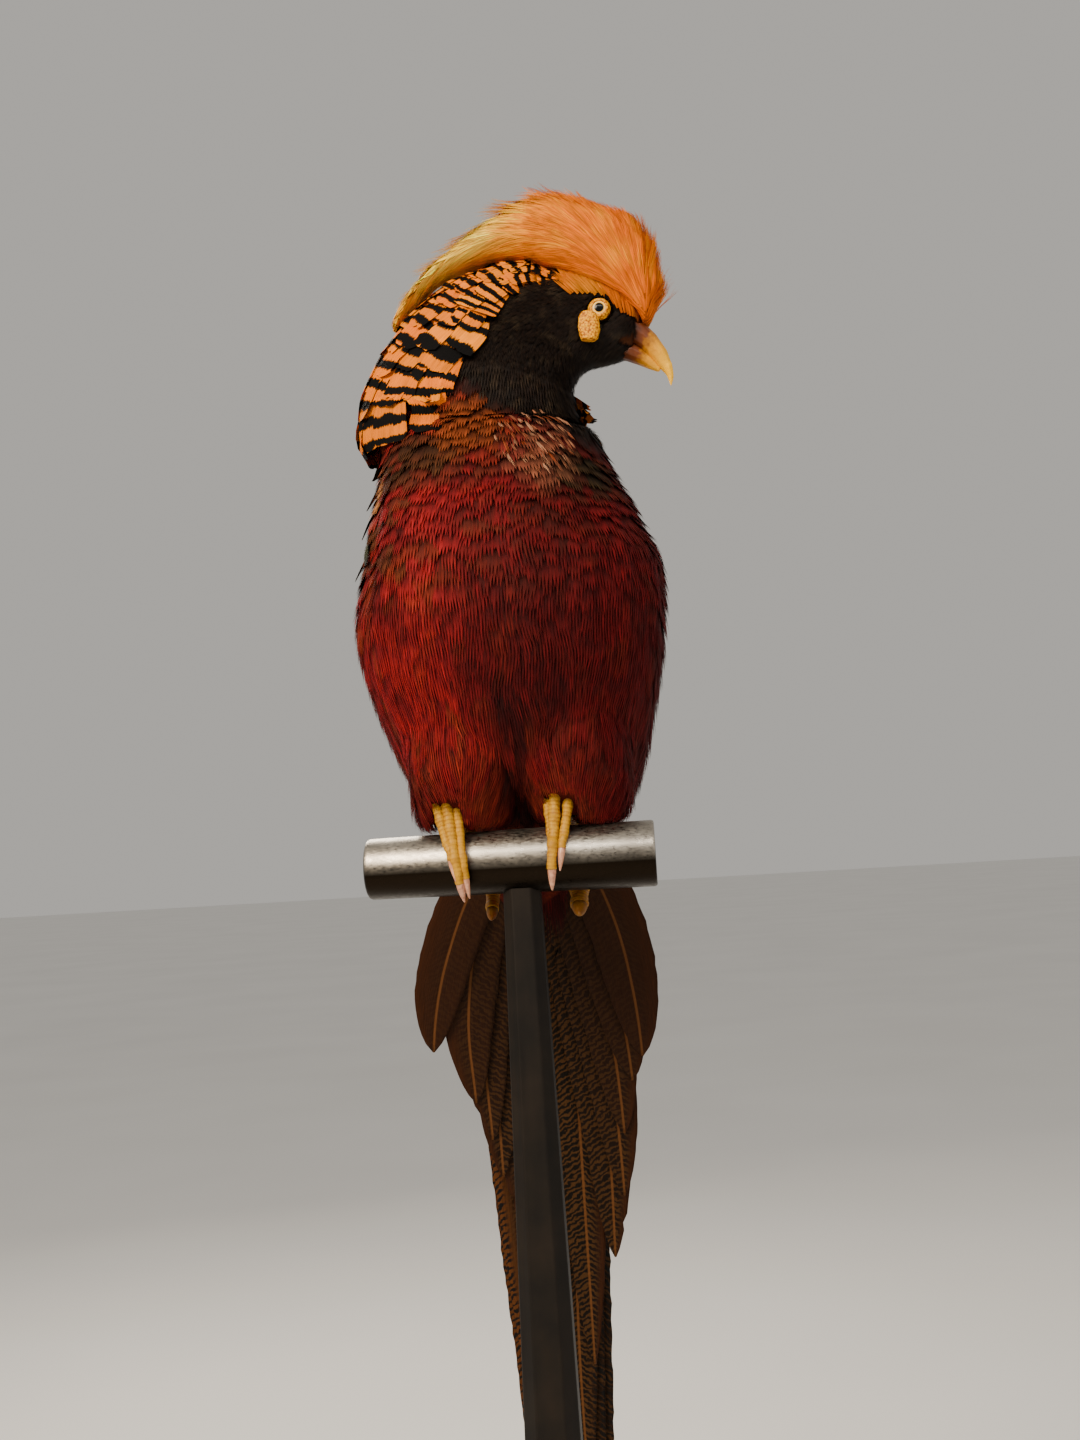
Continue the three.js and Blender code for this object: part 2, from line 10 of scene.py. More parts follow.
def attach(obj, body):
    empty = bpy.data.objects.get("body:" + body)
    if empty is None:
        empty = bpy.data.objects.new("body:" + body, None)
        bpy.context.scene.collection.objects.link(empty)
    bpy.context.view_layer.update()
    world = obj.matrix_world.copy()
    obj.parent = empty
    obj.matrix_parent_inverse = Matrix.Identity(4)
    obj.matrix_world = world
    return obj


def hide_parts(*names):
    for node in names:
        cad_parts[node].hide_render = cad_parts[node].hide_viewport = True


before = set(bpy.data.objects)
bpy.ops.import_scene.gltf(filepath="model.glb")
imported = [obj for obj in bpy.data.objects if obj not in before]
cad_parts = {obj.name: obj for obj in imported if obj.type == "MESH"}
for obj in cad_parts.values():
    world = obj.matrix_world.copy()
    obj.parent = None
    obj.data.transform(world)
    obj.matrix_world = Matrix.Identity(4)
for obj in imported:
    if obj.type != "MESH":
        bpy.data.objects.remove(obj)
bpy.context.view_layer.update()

# ---------------------------------------------------------------- studio
# A wide pale floor under soft light from four large panels, with even light from the room.
# The camera stands in front of the bird at the height of its perch and looks up a little.
CAMERA_PLACE = Vector((0.068, -0.700, 0.775))
CAMERA_YAW = math.radians(4.13)
CAMERA_PITCH = math.radians(4.9)
CAMERA_ROLL = math.radians(3.4)
FILM_WIDTH = 36
LENS_LENGTH = 37.5
LIT_PLACE = Vector((0, 0, 0.85))
FLOOR_SIZE = 30


def paint(red, green, blue):
    """A colour given in the usual 0 to 255 steps, as the amounts of light that a finish takes."""
    steps = np.array((red, green, blue)) / 255
    return tuple(np.where(steps < 0.04045, steps / 12.92, ((steps + 0.055) / 1.055) ** 2.4))


def placed(name, data):
    """A new object in the scene."""
    made = bpy.data.objects.new(name, data)
    bpy.context.scene.collection.objects.link(made)
    return made


def meshed(name, shape):
    """The mesh of a shape, which is let go."""
    mesh = bpy.data.meshes.new(name)
    shape.to_mesh(mesh)
    shape.free()
    return mesh


def node(tree, kind, inputs=None, **settings):
    """A new node with its settings; an input is given as a value or as the socket that feeds it."""
    made = tree.nodes.new(kind)
    for key, value in settings.items():
        setattr(made, key, value)
    for key, value in (inputs or {}).items():
        if isinstance(value, bpy.types.NodeSocket):
            tree.links.new(value, made.inputs[key])
        else:
            made.inputs[key].default_value = value
    return made


def object_place(tree):
    return node(tree, "ShaderNodeTexCoord").outputs["Object"]


def clouds(tree, place, scale=1.0, detail=2.0, roughness=0.5):
    """Soft noise from 0 to 1."""
    return node(tree, "ShaderNodeTexNoise", {
        "Vector": place, "Scale": scale, "Detail": detail, "Roughness": roughness,
    }).outputs["Fac"]


def ramp(tree, amount, stops):
    """Colours that follow an amount; stops are pairs of a place from 0 to 1 and a colour."""
    made = node(tree, "ShaderNodeValToRGB", {"Fac": amount})
    elements = made.color_ramp.elements
    for index, (place, colour) in enumerate(stops):
        element = elements[index] if index < 2 else elements.new(place)
        element.position = place
        element.color = (*colour, 1)
    return made.outputs["Color"]


def new_finish(name, roughness, **sockets):
    """A material whose shader takes these fixed values, returned with its node tree."""
    material = bpy.data.materials.new(name)
    material.use_nodes = True
    shader = material.node_tree.nodes["Principled BSDF"]
    for key, value in {"Roughness": roughness, **sockets}.items():
        shader.inputs[key.replace("_", " ")].default_value = value
    return material, material.node_tree


def feed(tree, **sockets):
    """Links sockets to the inputs of a material's shader."""
    for key, socket in sockets.items():
        tree.links.new(socket, tree.nodes["Principled BSDF"].inputs[key.replace("_", " ")])


camera = placed("camera", bpy.data.cameras.new("camera"))
camera.data.sensor_width = FILM_WIDTH
camera.data.lens = LENS_LENGTH
camera.data.clip_start = 0.01
ahead = Vector((
    -math.sin(CAMERA_YAW) * math.cos(CAMERA_PITCH),
    math.cos(CAMERA_YAW) * math.cos(CAMERA_PITCH),
    math.sin(CAMERA_PITCH),
))
level = ahead.cross(Vector((0, 0, 1))).normalized()
above = level.cross(ahead)
right = level * math.cos(CAMERA_ROLL) - above * math.sin(CAMERA_ROLL)
top = above * math.cos(CAMERA_ROLL) + level * math.sin(CAMERA_ROLL)
camera.matrix_world = Matrix.Translation(CAMERA_PLACE) @ Matrix((right, top, -ahead)).transposed().to_4x4()
bpy.context.scene.camera = camera

for name, place, width, height, power, colour in (
    ("key_light", (-1.05, -1.45, 1.95), 1.0, 1.0, 66, (1.0, 0.85, 0.66)),
    ("window_light", (0.10, -1.25, 1.86), 1.7, 0.26, 14, (1.0, 0.93, 0.84)),
    ("fill_light", (1.6, -1.3, 1.1), 1.6, 1.6, 5, (1.0, 0.94, 0.86)),
    ("back_light", (-0.6, 1.7, 1.9), 1.2, 1.2, 34, (1.0, 0.90, 0.76)),
):
    light = placed(name, bpy.data.lights.new(name, "AREA"))
    light.data.shape = "ELLIPSE"
    light.data.size = width
    light.data.size_y = height
    light.data.energy = power
    light.data.color = colour
    light.location = place
    light.rotation_euler = (LIT_PLACE - Vector(place)).to_track_quat("-Z", "Y").to_euler()

world = bpy.data.worlds.new("room")
bpy.context.scene.world = world
world.use_nodes = True
world.node_tree.nodes["Background"].inputs["Color"].default_value = (0.84, 0.805, 0.75, 1)
world.node_tree.nodes["Background"].inputs["Strength"].default_value = 0.56

floor_shape = bmesh.new()
bmesh.ops.create_grid(floor_shape, x_segments=1, y_segments=1, size=FLOOR_SIZE)
studio_floor = placed("floor", meshed("floor", floor_shape))
floor_finish, tree = new_finish("pale_floor", 0.85)
mottle = clouds(tree, object_place(tree), 1.5)
feed(tree, Base_Color=ramp(tree, mottle, [(0.3, (0.80, 0.79, 0.77)), (0.7, (0.84, 0.83, 0.81))]))
studio_floor.data.materials.append(floor_finish)

# ---------------------------------------------------------------- base and post
# The base is a turned steel disc with a softened rim. The post is square steel bar with its four
# corners planed off, wider at the foot, welded to the base and painted a warm dark grey.
BAR_HEIGHT = 0.770
BASE_RADIUS = 0.165
BASE_THICKNESS = 0.012
BASE_RIM = 0.0025
POST_X = 0.0045
POST_TOP_WIDTH = 0.017
POST_FOOT_WIDTH = 0.042
POST_TOP = BAR_HEIGHT - 0.0125
SOFT_EDGE = 0.0006


def maths(tree, operation, *values):
    """The result of one step of arithmetic on numbers or sockets."""
    return node(tree, "ShaderNodeMath", dict(enumerate(values)), operation=operation).outputs[0]


def ranged(tree, value, low, high, to_low=0.0, to_high=1.0):
    """A value brought from one range to another and kept within it."""
    return node(tree, "ShaderNodeMapRange", {
        "Value": value, "From Min": low, "From Max": high, "To Min": to_low, "To Max": to_high,
    }).outputs["Result"]


def stretched(tree, place, scale, **settings):
    """A place stretched along each axis."""
    return node(tree, "ShaderNodeMapping", {"Vector": place, "Scale": scale, **settings}).outputs["Vector"]


def relief(tree, height, strength, distance, invert=False):
    """Fine bumps that follow a height, for a shader's normal."""
    return node(tree, "ShaderNodeBump", {
        "Height": height, "Strength": strength, "Distance": distance,
    }, invert=invert).outputs["Normal"]


def ridden(name, mesh, material, replaced):
    """Makes a piece of a mesh, with its material, its body and the solids it stands for."""
    mesh.materials.append(material)
    piece = placed(name, mesh)
    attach(piece, "root")
    if replaced:
        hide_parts(*replaced)
    return piece


def finished(name, shape, material, replaced, smooth=True):
    """Makes a piece of a shape."""
    mesh = meshed(name, shape)
    mesh.polygons.foreach_set("use_smooth", [smooth] * len(mesh.polygons))
    return ridden(name, mesh, material, replaced)


def turned(profile, axis, steps=96):
    """A closed shape spun round an axis from its half profile."""
    shape = bmesh.new()
    corners = [shape.verts.new(point) for point in profile]
    edges = [shape.edges.new(pair) for pair in zip(corners, corners[1:])]
    bmesh.ops.spin(
        shape, geom=corners + edges, cent=(0, 0, 0), axis=axis, angle=2 * math.pi, steps=steps,
        use_merge=True, use_duplicate=False,
    )
    bmesh.ops.remove_doubles(shape, verts=shape.verts, dist=1e-6)
    bmesh.ops.recalc_face_normals(shape, faces=shape.faces)
    return shape


def metal_finish(name, dark, light, roughness, metallic, drawn, depth=0.25, detail=5.0, **sockets):
    """Metal with soft wear marks, which are drawn out along each axis."""
    material, tree = new_finish(name, roughness, Metallic=metallic, **sockets)
    place = object_place(tree)
    scratches = clouds(tree, stretched(tree, place, drawn), 1.0, detail, 0.65)
    wear = maths(tree, "MULTIPLY", scratches, clouds(tree, place, 60.0, 8.0))
    feed(
        tree, Base_Color=ramp(tree, wear, [(0.16, dark), (0.42, light)]),
        Roughness=ranged(tree, scratches, 0.3, 0.7, roughness - 0.10, roughness + 0.14),
        Normal=relief(tree, scratches, depth, 0.0004),
    )
    return material


post_paint = metal_finish(
    "post_paint", paint(14, 10, 7), paint(28, 21, 14), 0.55, 0.1, (90, 90, 6), Specular_IOR_Level=0.18,
)
finished("base", turned([
    (0, 0, 0), (BASE_RADIUS - 0.001, 0, 0), (BASE_RADIUS, 0, 0.001),
    (BASE_RADIUS, 0, BASE_THICKNESS - BASE_RIM),
    (BASE_RADIUS - 0.2 * BASE_RIM, 0, BASE_THICKNESS - 0.4 * BASE_RIM),
    (BASE_RADIUS - BASE_RIM, 0, BASE_THICKNESS), (0.030, 0, BASE_THICKNESS), (0, 0, BASE_THICKNESS),
], (0, 0, 1)), post_paint, ["stand_base"], smooth=False)

post = bmesh.new()
bmesh.ops.create_grid(post, x_segments=1, y_segments=1, size=POST_FOOT_WIDTH / 2)
bmesh.ops.bevel(
    post, geom=post.verts[:], offset=POST_FOOT_WIDTH * 0.24, offset_type="OFFSET", segments=1,
    profile=0.5, affect="VERTICES", material=-1,
)
bmesh.ops.translate(post, verts=post.verts, vec=(0, 0, BASE_THICKNESS))
column = bmesh.ops.extrude_face_region(post, geom=post.faces[:])
raised = [part for part in column["geom"] if isinstance(part, bmesh.types.BMVert)]
bmesh.ops.translate(post, verts=raised, vec=(0, 0, POST_TOP - BASE_THICKNESS))
narrow = POST_TOP_WIDTH / POST_FOOT_WIDTH
bmesh.ops.scale(post, verts=raised, vec=(narrow, narrow, 1))
bmesh.ops.translate(post, verts=post.verts, vec=(POST_X, 0, 0))
long_edges = [edge for edge in post.edges if abs(edge.verts[0].co.z - edge.verts[1].co.z) > 0.1]
bmesh.ops.bevel(
    post, geom=long_edges, offset=SOFT_EDGE, offset_type="OFFSET", segments=2, profile=0.5,
    affect="EDGES", material=-1,
)
bmesh.ops.recalc_face_normals(post, faces=post.faces)
finished("post", post, post_paint, ["stand_post"], smooth=False)

# ---------------------------------------------------------------- perch bar
# The bar is a short length of heavy steel pipe with its ends dressed round. Its colour is a
# painted highlight, a bright band of worn metal along the top, over painted shade: dark steel
# below. It is welded across the head of the post.
BAR_HALF = 0.0675
BAR_RADIUS_LEFT = 0.0142
BAR_RADIUS_RIGHT = 0.0154
BAR_END = [(0, -0.0046), (0.0004, -0.0030), (0, -0.0018), (0.0007, -0.0006), (0.0020, 0)]
bar_steel = metal_finish(
    "bar_steel", paint(160, 152, 140), paint(196, 188, 174), 0.34, 1.0, (420, 1000, 1000), 0.11, 3.0,
)
tree = bar_steel.node_tree
worn_and_highlight_metal = tree.nodes["Principled BSDF"].inputs["Base Color"].links[0].from_socket
# Painted highlight and shade: bright worn metal in a band along the top, dark steel below it.
height = node(tree, "ShaderNodeSeparateXYZ", {"Vector": object_place(tree)}).outputs["Z"]
feed(tree, Base_Color=node(tree, "ShaderNodeMix", {
    "Factor": ranged(tree, height, BAR_HEIGHT - 0.003, BAR_HEIGHT + 0.0055),
    6: (*paint(30, 24, 18), 1), 7: worn_and_highlight_metal,
}, data_type="RGBA").outputs[2])
bar_shape = turned([
    (-BAR_HALF, 0, 0), *((-BAR_HALF + inward, 0, BAR_RADIUS_LEFT + out) for inward, out in BAR_END),
    (BAR_HALF - 0.0012, 0, BAR_RADIUS_RIGHT), (BAR_HALF - 0.0003, 0, BAR_RADIUS_RIGHT - 0.0004),
    (BAR_HALF, 0, BAR_RADIUS_RIGHT - 0.0012), (BAR_HALF, 0, 0),
], (1, 0, 0))
bmesh.ops.translate(bar_shape, verts=bar_shape.verts, vec=(0, 0, BAR_HEIGHT))
bar = finished("perch_bar", bar_shape, bar_steel, ["stand_bar"])
bar.data.set_sharp_from_angle(angle=math.radians(28))

# ---------------------------------------------------------------- skin
# The tanned skin of the whole bird, stretched over its form: trunk, neck, head, thighs and the
# folded wings in one piece. It is dyed by the down that grows on it, so it has the coat's colours.
FLESH = ["trunk", "neck", "head", "thigh_right", "thigh_left", "wing_right", "wing_left"]
MIDDLE_X = 5.5
BREAST_LINE = [  # height and how far back the breast lies there
    (-30, 70), (-10, 54), (14, 30), (34, -4), (62, -36), (98, -56), (132, -62), (166, -57), (200, -44),
]
BACK_LINE = [
    (-24, 88), (-4, 97), (24, 98), (52, 93), (84, 84), (118, 71), (148, 58), (176, 45), (200, 34),
]
COLLAR_LINE = [(-24, 227), (-5, 223), (3, 215), (11, 208), (26, 200), (37, 195), (60, 190)]

CRIMSON = paint(160, 24, 30)
DEEP_RED = paint(90, 8, 10)
RUST = paint(136, 56, 20)
OLIVE = paint(48, 42, 20)
FACE_BROWN = paint(24, 13, 6)
GREEN = paint(24, 74, 46)
GOLD = paint(232, 170, 36)
CHESTNUT = paint(104, 44, 22)


def metres(points):
    """Places counted in millimetres from the axis of the perch bar, as metres above the floor."""
    return np.asarray(points, float) * 0.001 + (0, 0, BAR_HEIGHT)


def smooth(value, low, high):
    share = np.clip((value - low) / (high - low), 0, 1)
    return share * share * (3 - 2 * share)


def mix(first, second, share):
    share = np.asarray(share)[..., None]
    return np.asarray(first) * (1 - share) + np.asarray(second) * share


def unit(vectors):
    return vectors / (np.linalg.norm(vectors, axis=-1, keepdims=True) + 1e-9)


def read_off(value, pairs):
    """Values read off a line through pairs."""
    return np.interp(value, *zip(*pairs))


def blotch(points, size, seed):
    """Soft random patches of about this size, from -1 to 1."""
    shifted = points / size + seed * np.array((7.31, 3.17, 5.53))
    return np.array([noise.noise(place) for place in shifted.tolist()])


def spot(points, middle, reach):
    """1 in the middle of a rounded patch, 0 outside it."""
    return 1 - smooth(np.linalg.norm((points - middle) / reach, axis=-1), 0.55, 1.2)


def spine(height):
    """How far back the middle of the trunk lies at a height."""
    return (read_off(height, BREAST_LINE) + read_off(height, BACK_LINE)) / 2


def turn_of(points):
    """How far round the trunk a place lies: 0 in front, 90 at either side, 180 behind."""
    x, y, z = points.T
    return np.degrees(np.arctan2(np.abs(x - MIDDLE_X), spine(z) - y))


def collar(points):
    """How low the dark throat reaches over the shoulder: its edge, at each place's own x."""
    return read_off(points[:, 0], COLLAR_LINE)


def gape(points):
    """The bare skin at each corner of the mouth: 1 inside it, 0 on the feathered face."""
    x, _, z = points.T
    return smooth(x, 66, 67.5) * (np.abs(z - 240.5) < 1.6 + 0.25 * (x - 66.5))


def plumage(points):
    """The coat's colour at each place of the trunk, neck and head."""
    x, _, z = points.T
    turn = turn_of(points)
    broad, fine = blotch(points, 22, 1), blotch(points, 5, 2)
    flecked = smooth(blotch(points, 6, 12), 0.1, 0.4) * smooth(z, 118, 150)
    # Painted shade in the cleft down the lower belly, between the thighs.
    groove_shade = smooth(np.abs(x - 6), 6.0, 1.0) * smooth(z, 104, 84) * smooth(turn, 70, 40)
    low = (1 - smooth(z, 34, 92)) * smooth(blotch(points, 9, 4), -0.45, 0.2)
    dusky = spot(points, (-30, -44, 190), (30, 34, 14)) * smooth(fine, -0.7, -0.1)
    back = smooth(turn, 112, 126)
    folded = back * (1 - smooth(turn, 148, 158)) * smooth(z, 34, 50)
    colour = CRIMSON
    for dye, share in (
        (DEEP_RED, 0.75 * smooth(broad + 0.7 * fine, -0.1, 0.7)),
        (RUST, 0.6 * smooth(blotch(points, 9, 3), 0.1, 0.45)),
        (paint(84, 54, 24), 0.7 * flecked),
        # Painted shade: the coat darkens towards the bird's left side and low on the belly, away from the
        # light.
        (DEEP_RED, np.maximum(0.8 * smooth(x, -44, 34), 0.65 * smooth(z, 84, 46))),
        (0.6 * np.array(DEEP_RED), 0.55 * spot(points, (14, -40, 112), (40, 50, 46))),
        (RUST, 0.5 * low * (1 - smooth(np.abs(x - 4), 18, 52))),
        (0.3 * np.array(DEEP_RED), 0.75 * groove_shade),
        (mix(OLIVE, RUST, 0.2), 0.95 * dusky),
        (OLIVE, 0.90 * spot(points, (46, -42, 180), (22, 30, 15)) * smooth(fine, -0.5, 0.0)),
        (paint(150, 70, 28), 0.92 * spot(points, (-4, -46, 206), (20, 30, 18))),
        (GOLD, back * (1 - smooth(z, 118, 134)) * smooth(z, -2, 12)),
        (mix(CHESTNUT, DEEP_RED, 0.5), folded),
        (GREEN, smooth(turn, 126, 140) * smooth(z, 118, 134)),
        (
            mix(FACE_BROWN, paint(58, 46, 32), 0.5 * smooth(fine, 0.0, 0.5)),
            smooth(z - collar(points), -3, 3),
        ),
        (paint(130, 74, 44), 0.8 * gape(points)),
    ):
        colour = mix(colour, dye, share)
    return colour


def clothed(name, nodes, grow, voxel, rounds):
    """One closed, smoothed surface round some solids, grown a little first to close their joints."""
    shape = bmesh.new()
    for solid in nodes:
        shape.from_mesh(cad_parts[solid].data)
    bmesh.ops.remove_doubles(shape, verts=shape.verts, dist=1e-6)
    rough = placed(name, meshed(name, shape))
    swell = rough.modifiers.new("Swell", "DISPLACE")
    swell.strength = grow
    swell.mid_level = 0
    wrap = rough.modifiers.new("Wrap", "REMESH")
    wrap.mode = "VOXEL"
    wrap.voxel_size = voxel
    ease = rough.modifiers.new("Ease", "SMOOTH")
    ease.factor = 0.5
    ease.iterations = rounds
    wrapped = bpy.data.meshes.new_from_object(rough.evaluated_get(bpy.context.evaluated_depsgraph_get()))
    bpy.data.objects.remove(rough)
    shape = bmesh.new()
    shape.from_mesh(wrapped)
    bpy.data.meshes.remove(wrapped)
    left = set(shape.verts)
    islands = []
    while left:
        reached = [left.pop()]
        for vert in reached:
            onward = left.intersection(edge.other_vert(vert) for edge in vert.link_edges)
            left -= onward
            reached += onward
        islands.append(reached)
    for crumb in sorted(islands, key=len)[:-1]:
        bmesh.ops.delete(shape, geom=crumb, context="VERTS")
    return shape


def surveyed(elements):
    """The places of a shape's corners in millimetres from the bar, and the way out at each."""
    places = (np.array([vert.co for vert in elements]) - (0, 0, BAR_HEIGHT)) * 1000
    return places, np.array([vert.normal for vert in elements])


def bed_for(shape, depth):
    """Draws a shape in along its normals by depth, in millimetres at each place, and tells what
    feathers need to know of the surface that they then grow on."""
    shape.normal_update()
    places, outward = surveyed(shape.verts)
    moved = metres(places - outward * np.asarray(depth(places))[:, None])
    for vert, place in zip(shape.verts, moved.tolist()):
        vert.co = place
    shape.normal_update()
    corners = bmesh.new()
    corners.from_mesh(meshed("bed", shape.copy()))
    bmesh.ops.triangulate(corners, faces=corners.faces)
    corners.verts.index_update()
    places, outward = surveyed(corners.verts)
    faces = np.array([[vert.index for vert in face.verts] for face in corners.faces])
    corners.free()
    sides = places[faces]
    cross = np.cross(sides[:, 1] - sides[:, 0], sides[:, 2] - sides[:, 0])
    return {
        "tree": BVHTree.FromPolygons(places.tolist(), faces.tolist()),
        "corners": sides,
        "areas": np.linalg.norm(cross, axis=1) / 2,
        "outward": unit(outward[faces].mean(axis=1)),
    }


def mark(mesh, name, values):
    """Gives a mesh a value or a colour at each corner, which its material reads."""
    values = np.asarray(values, float)
    if values.ndim == 1:
        mesh.attributes.new(name, "FLOAT", "POINT").data.foreach_set("value", values)
    else:
        colours = np.concatenate([values, np.ones((len(values), 1))], 1)
        mesh.attributes.new(name, "FLOAT_COLOR", "POINT").data.foreach_set("color", colours.ravel())


def dyed(name, shape, replaced, colouring, depth_of_colour):
    """A downy piece, coloured at each place by a rule."""
    piece = finished(name, shape, skin_finish, replaced)
    points = np.empty(len(piece.data.vertices) * 3)
    piece.data.vertices.foreach_get("co", points)
    points = (points.reshape(-1, 3) - (0, 0, BAR_HEIGHT)) * 1000
    mark(piece.data, "Marking", colouring(points) * depth_of_colour)


def coat_depth(points):
    """The coat is thin on the face and thick on the breast."""
    x, _, z = points.T
    head = smooth(z + 0.28 * x, 200, 226)
    thigh = 1 - smooth(z, 30, 74)
    right_shoulder = smooth(-x, 34, 60) * smooth(z, 104, 132) * (1 - smooth(z, 188, 204))
    right_shoulder *= 1 + 0.7 * smooth(z, 124, 146)
    left_shoulder = smooth(x, 30, 56) * smooth(z, 134, 158) * (1 - smooth(z, 178, 200))
    return 0.8 + 3.6 - 2.2 * head - 2.6 * thigh + 4.0 * right_shoulder + 4.0 * left_shoulder


def painted(tree, name, output="Fac"):
    """What a mesh says of each place under this name."""
    return node(tree, "ShaderNodeAttribute", attribute_name=name).outputs[output]


def blend(tree, share, first, second, **settings):
    return node(tree, "ShaderNodeMix", {
        "Factor": share, 6: first, 7: second,
    }, data_type="RGBA", **settings).outputs[2]


skin_shape = clothed("skin", FLESH, 0.0008, 0.0018, 8)
body_bed = bed_for(skin_shape, coat_depth)

# The down between the feathers: short streaks over the coat's own colour.
skin_finish, tree = new_finish("downy_skin", 0.9, Specular_IOR_Level=0.1)
down = clouds(tree, stretched(tree, object_place(tree), (900, 900, 160)), 1.0, 3.0)
shade = node(tree, "ShaderNodeMapRange", {"Value": down, "To Min": 0.15, "To Max": 0.8}).outputs["Result"]
feed(
    tree, Normal=relief(tree, down, 0.5, 0.0006),
    Base_Color=blend(tree, 1.0, painted(tree, "Marking", "Color"), shade, blend_type="MULTIPLY"),
)
dyed("skin", skin_shape, FLESH, plumage, 0.55)

# ---------------------------------------------------------------- breast, belly and thigh feathers
# The crimson coat of the breast, flanks, belly and thighs. The feathers are small and lie in
# overlapping rows, and each one's vane parts into hair-like barbs towards its tip.
TUFT_PATCH = 0.003
TOES_X = (-28, 25)
HEAD_MIDDLE_Y = -5
PALE_PINK = paint(208, 156, 120)


def settle(bed, points):
    """The nearest places on a bed, and the way out from it there."""
    found = [bed["tree"].find_nearest(place) for place in points.tolist()]
    places = np.array([tuple(hit[0]) for hit in found])
    return places, bed["outward"][[hit[2] for hit in found]]


def scatter(bed, gap, inside, seed):
    """Roots spread evenly over the part of a bed that inside() marks, none nearer than gap."""
    rng = np.random.default_rng(seed)
    tries = int(bed["areas"].sum() / gap ** 2 * 5)
    chosen = rng.choice(len(bed["areas"]), tries, p=bed["areas"] / bed["areas"].sum())
    a, b = rng.random((2, tries, 1))
    a, b = np.where(a + b > 1, 1 - a, a), np.where(a + b > 1, 1 - b, b)
    first, second, third = (bed["corners"][chosen, k] for k in range(3))
    points = first + (second - first) * a + (third - first) * b
    points = points[inside(points)]
    cells = {}
    kept = []
    near = [(i, j, k) for i in (-1, 0, 1) for j in (-1, 0, 1) for k in (-1, 0, 1)]
    places = zip(points.tolist(), (points // gap).astype(int).tolist())
    for index, ((x, y, z), (i, j, k)) in enumerate(places):
        crowded = any(
            (x - u) ** 2 + (y - v) ** 2 + (z - w) ** 2 < gap * gap
            for di, dj, dk in near
            for u, v, w in cells.get((i + di, j + dj, k + dk), ())
        )
        if not crowded:
            cells.setdefault((i, j, k), []).append((x, y, z))
            kept.append(index)
    return points[kept]


def lie(bed, roots, flow, length, rows, free=0.0):
    """Shafts that start at the roots and follow a bed the way that the coat lies."""
    places, outward = settle(bed, roots)
    path, normals = [places], [outward]
    length, free = (np.broadcast_to(value, (len(roots),))[:, None] for value in (length, free))
    for _ in range(rows):
        heading = unit(flow(places))
        heading = unit(heading - outward * (heading * outward).sum(1, keepdims=True))
        onward = places + heading * (length / rows)
        places, outward = settle(bed, onward)
        places = places + (onward - places) * free
        path.append(places)
        normals.append(outward)
    return np.stack(path, 1), np.stack(normals, 1)


def along_shafts(values, share):
    """Values given at even steps along each shaft, read at shares from 0 to 1 of its length."""
    steps = values.shape[1] - 1
    place = np.clip(share, 0, 1) * steps
    low = np.minimum(place.astype(int), steps - 1)
    feather = np.arange(len(values)).reshape((-1,) + (1,) * (share.ndim - 1))
    part = (place - low)[..., None]
    return values[feather, low] * (1 - part) + values[feather, low + 1] * part


def unwrap(points):
    """Where a place lies on the skin, cut down the back and laid flat."""
    x, y, z = points.T
    middle_x = np.interp(z, [180, 215, 245, 285], [MIDDLE_X, 0, 22, 40])
    middle_y = np.where(z > 215, HEAD_MIDDLE_Y, spine(z))
    round_it = np.arctan2(x - middle_x, middle_y - y)
    return np.stack([0.5 + round_it / (2.04 * math.pi), 0.02 + 0.96 * (z + 60) / 390], axis=-1)


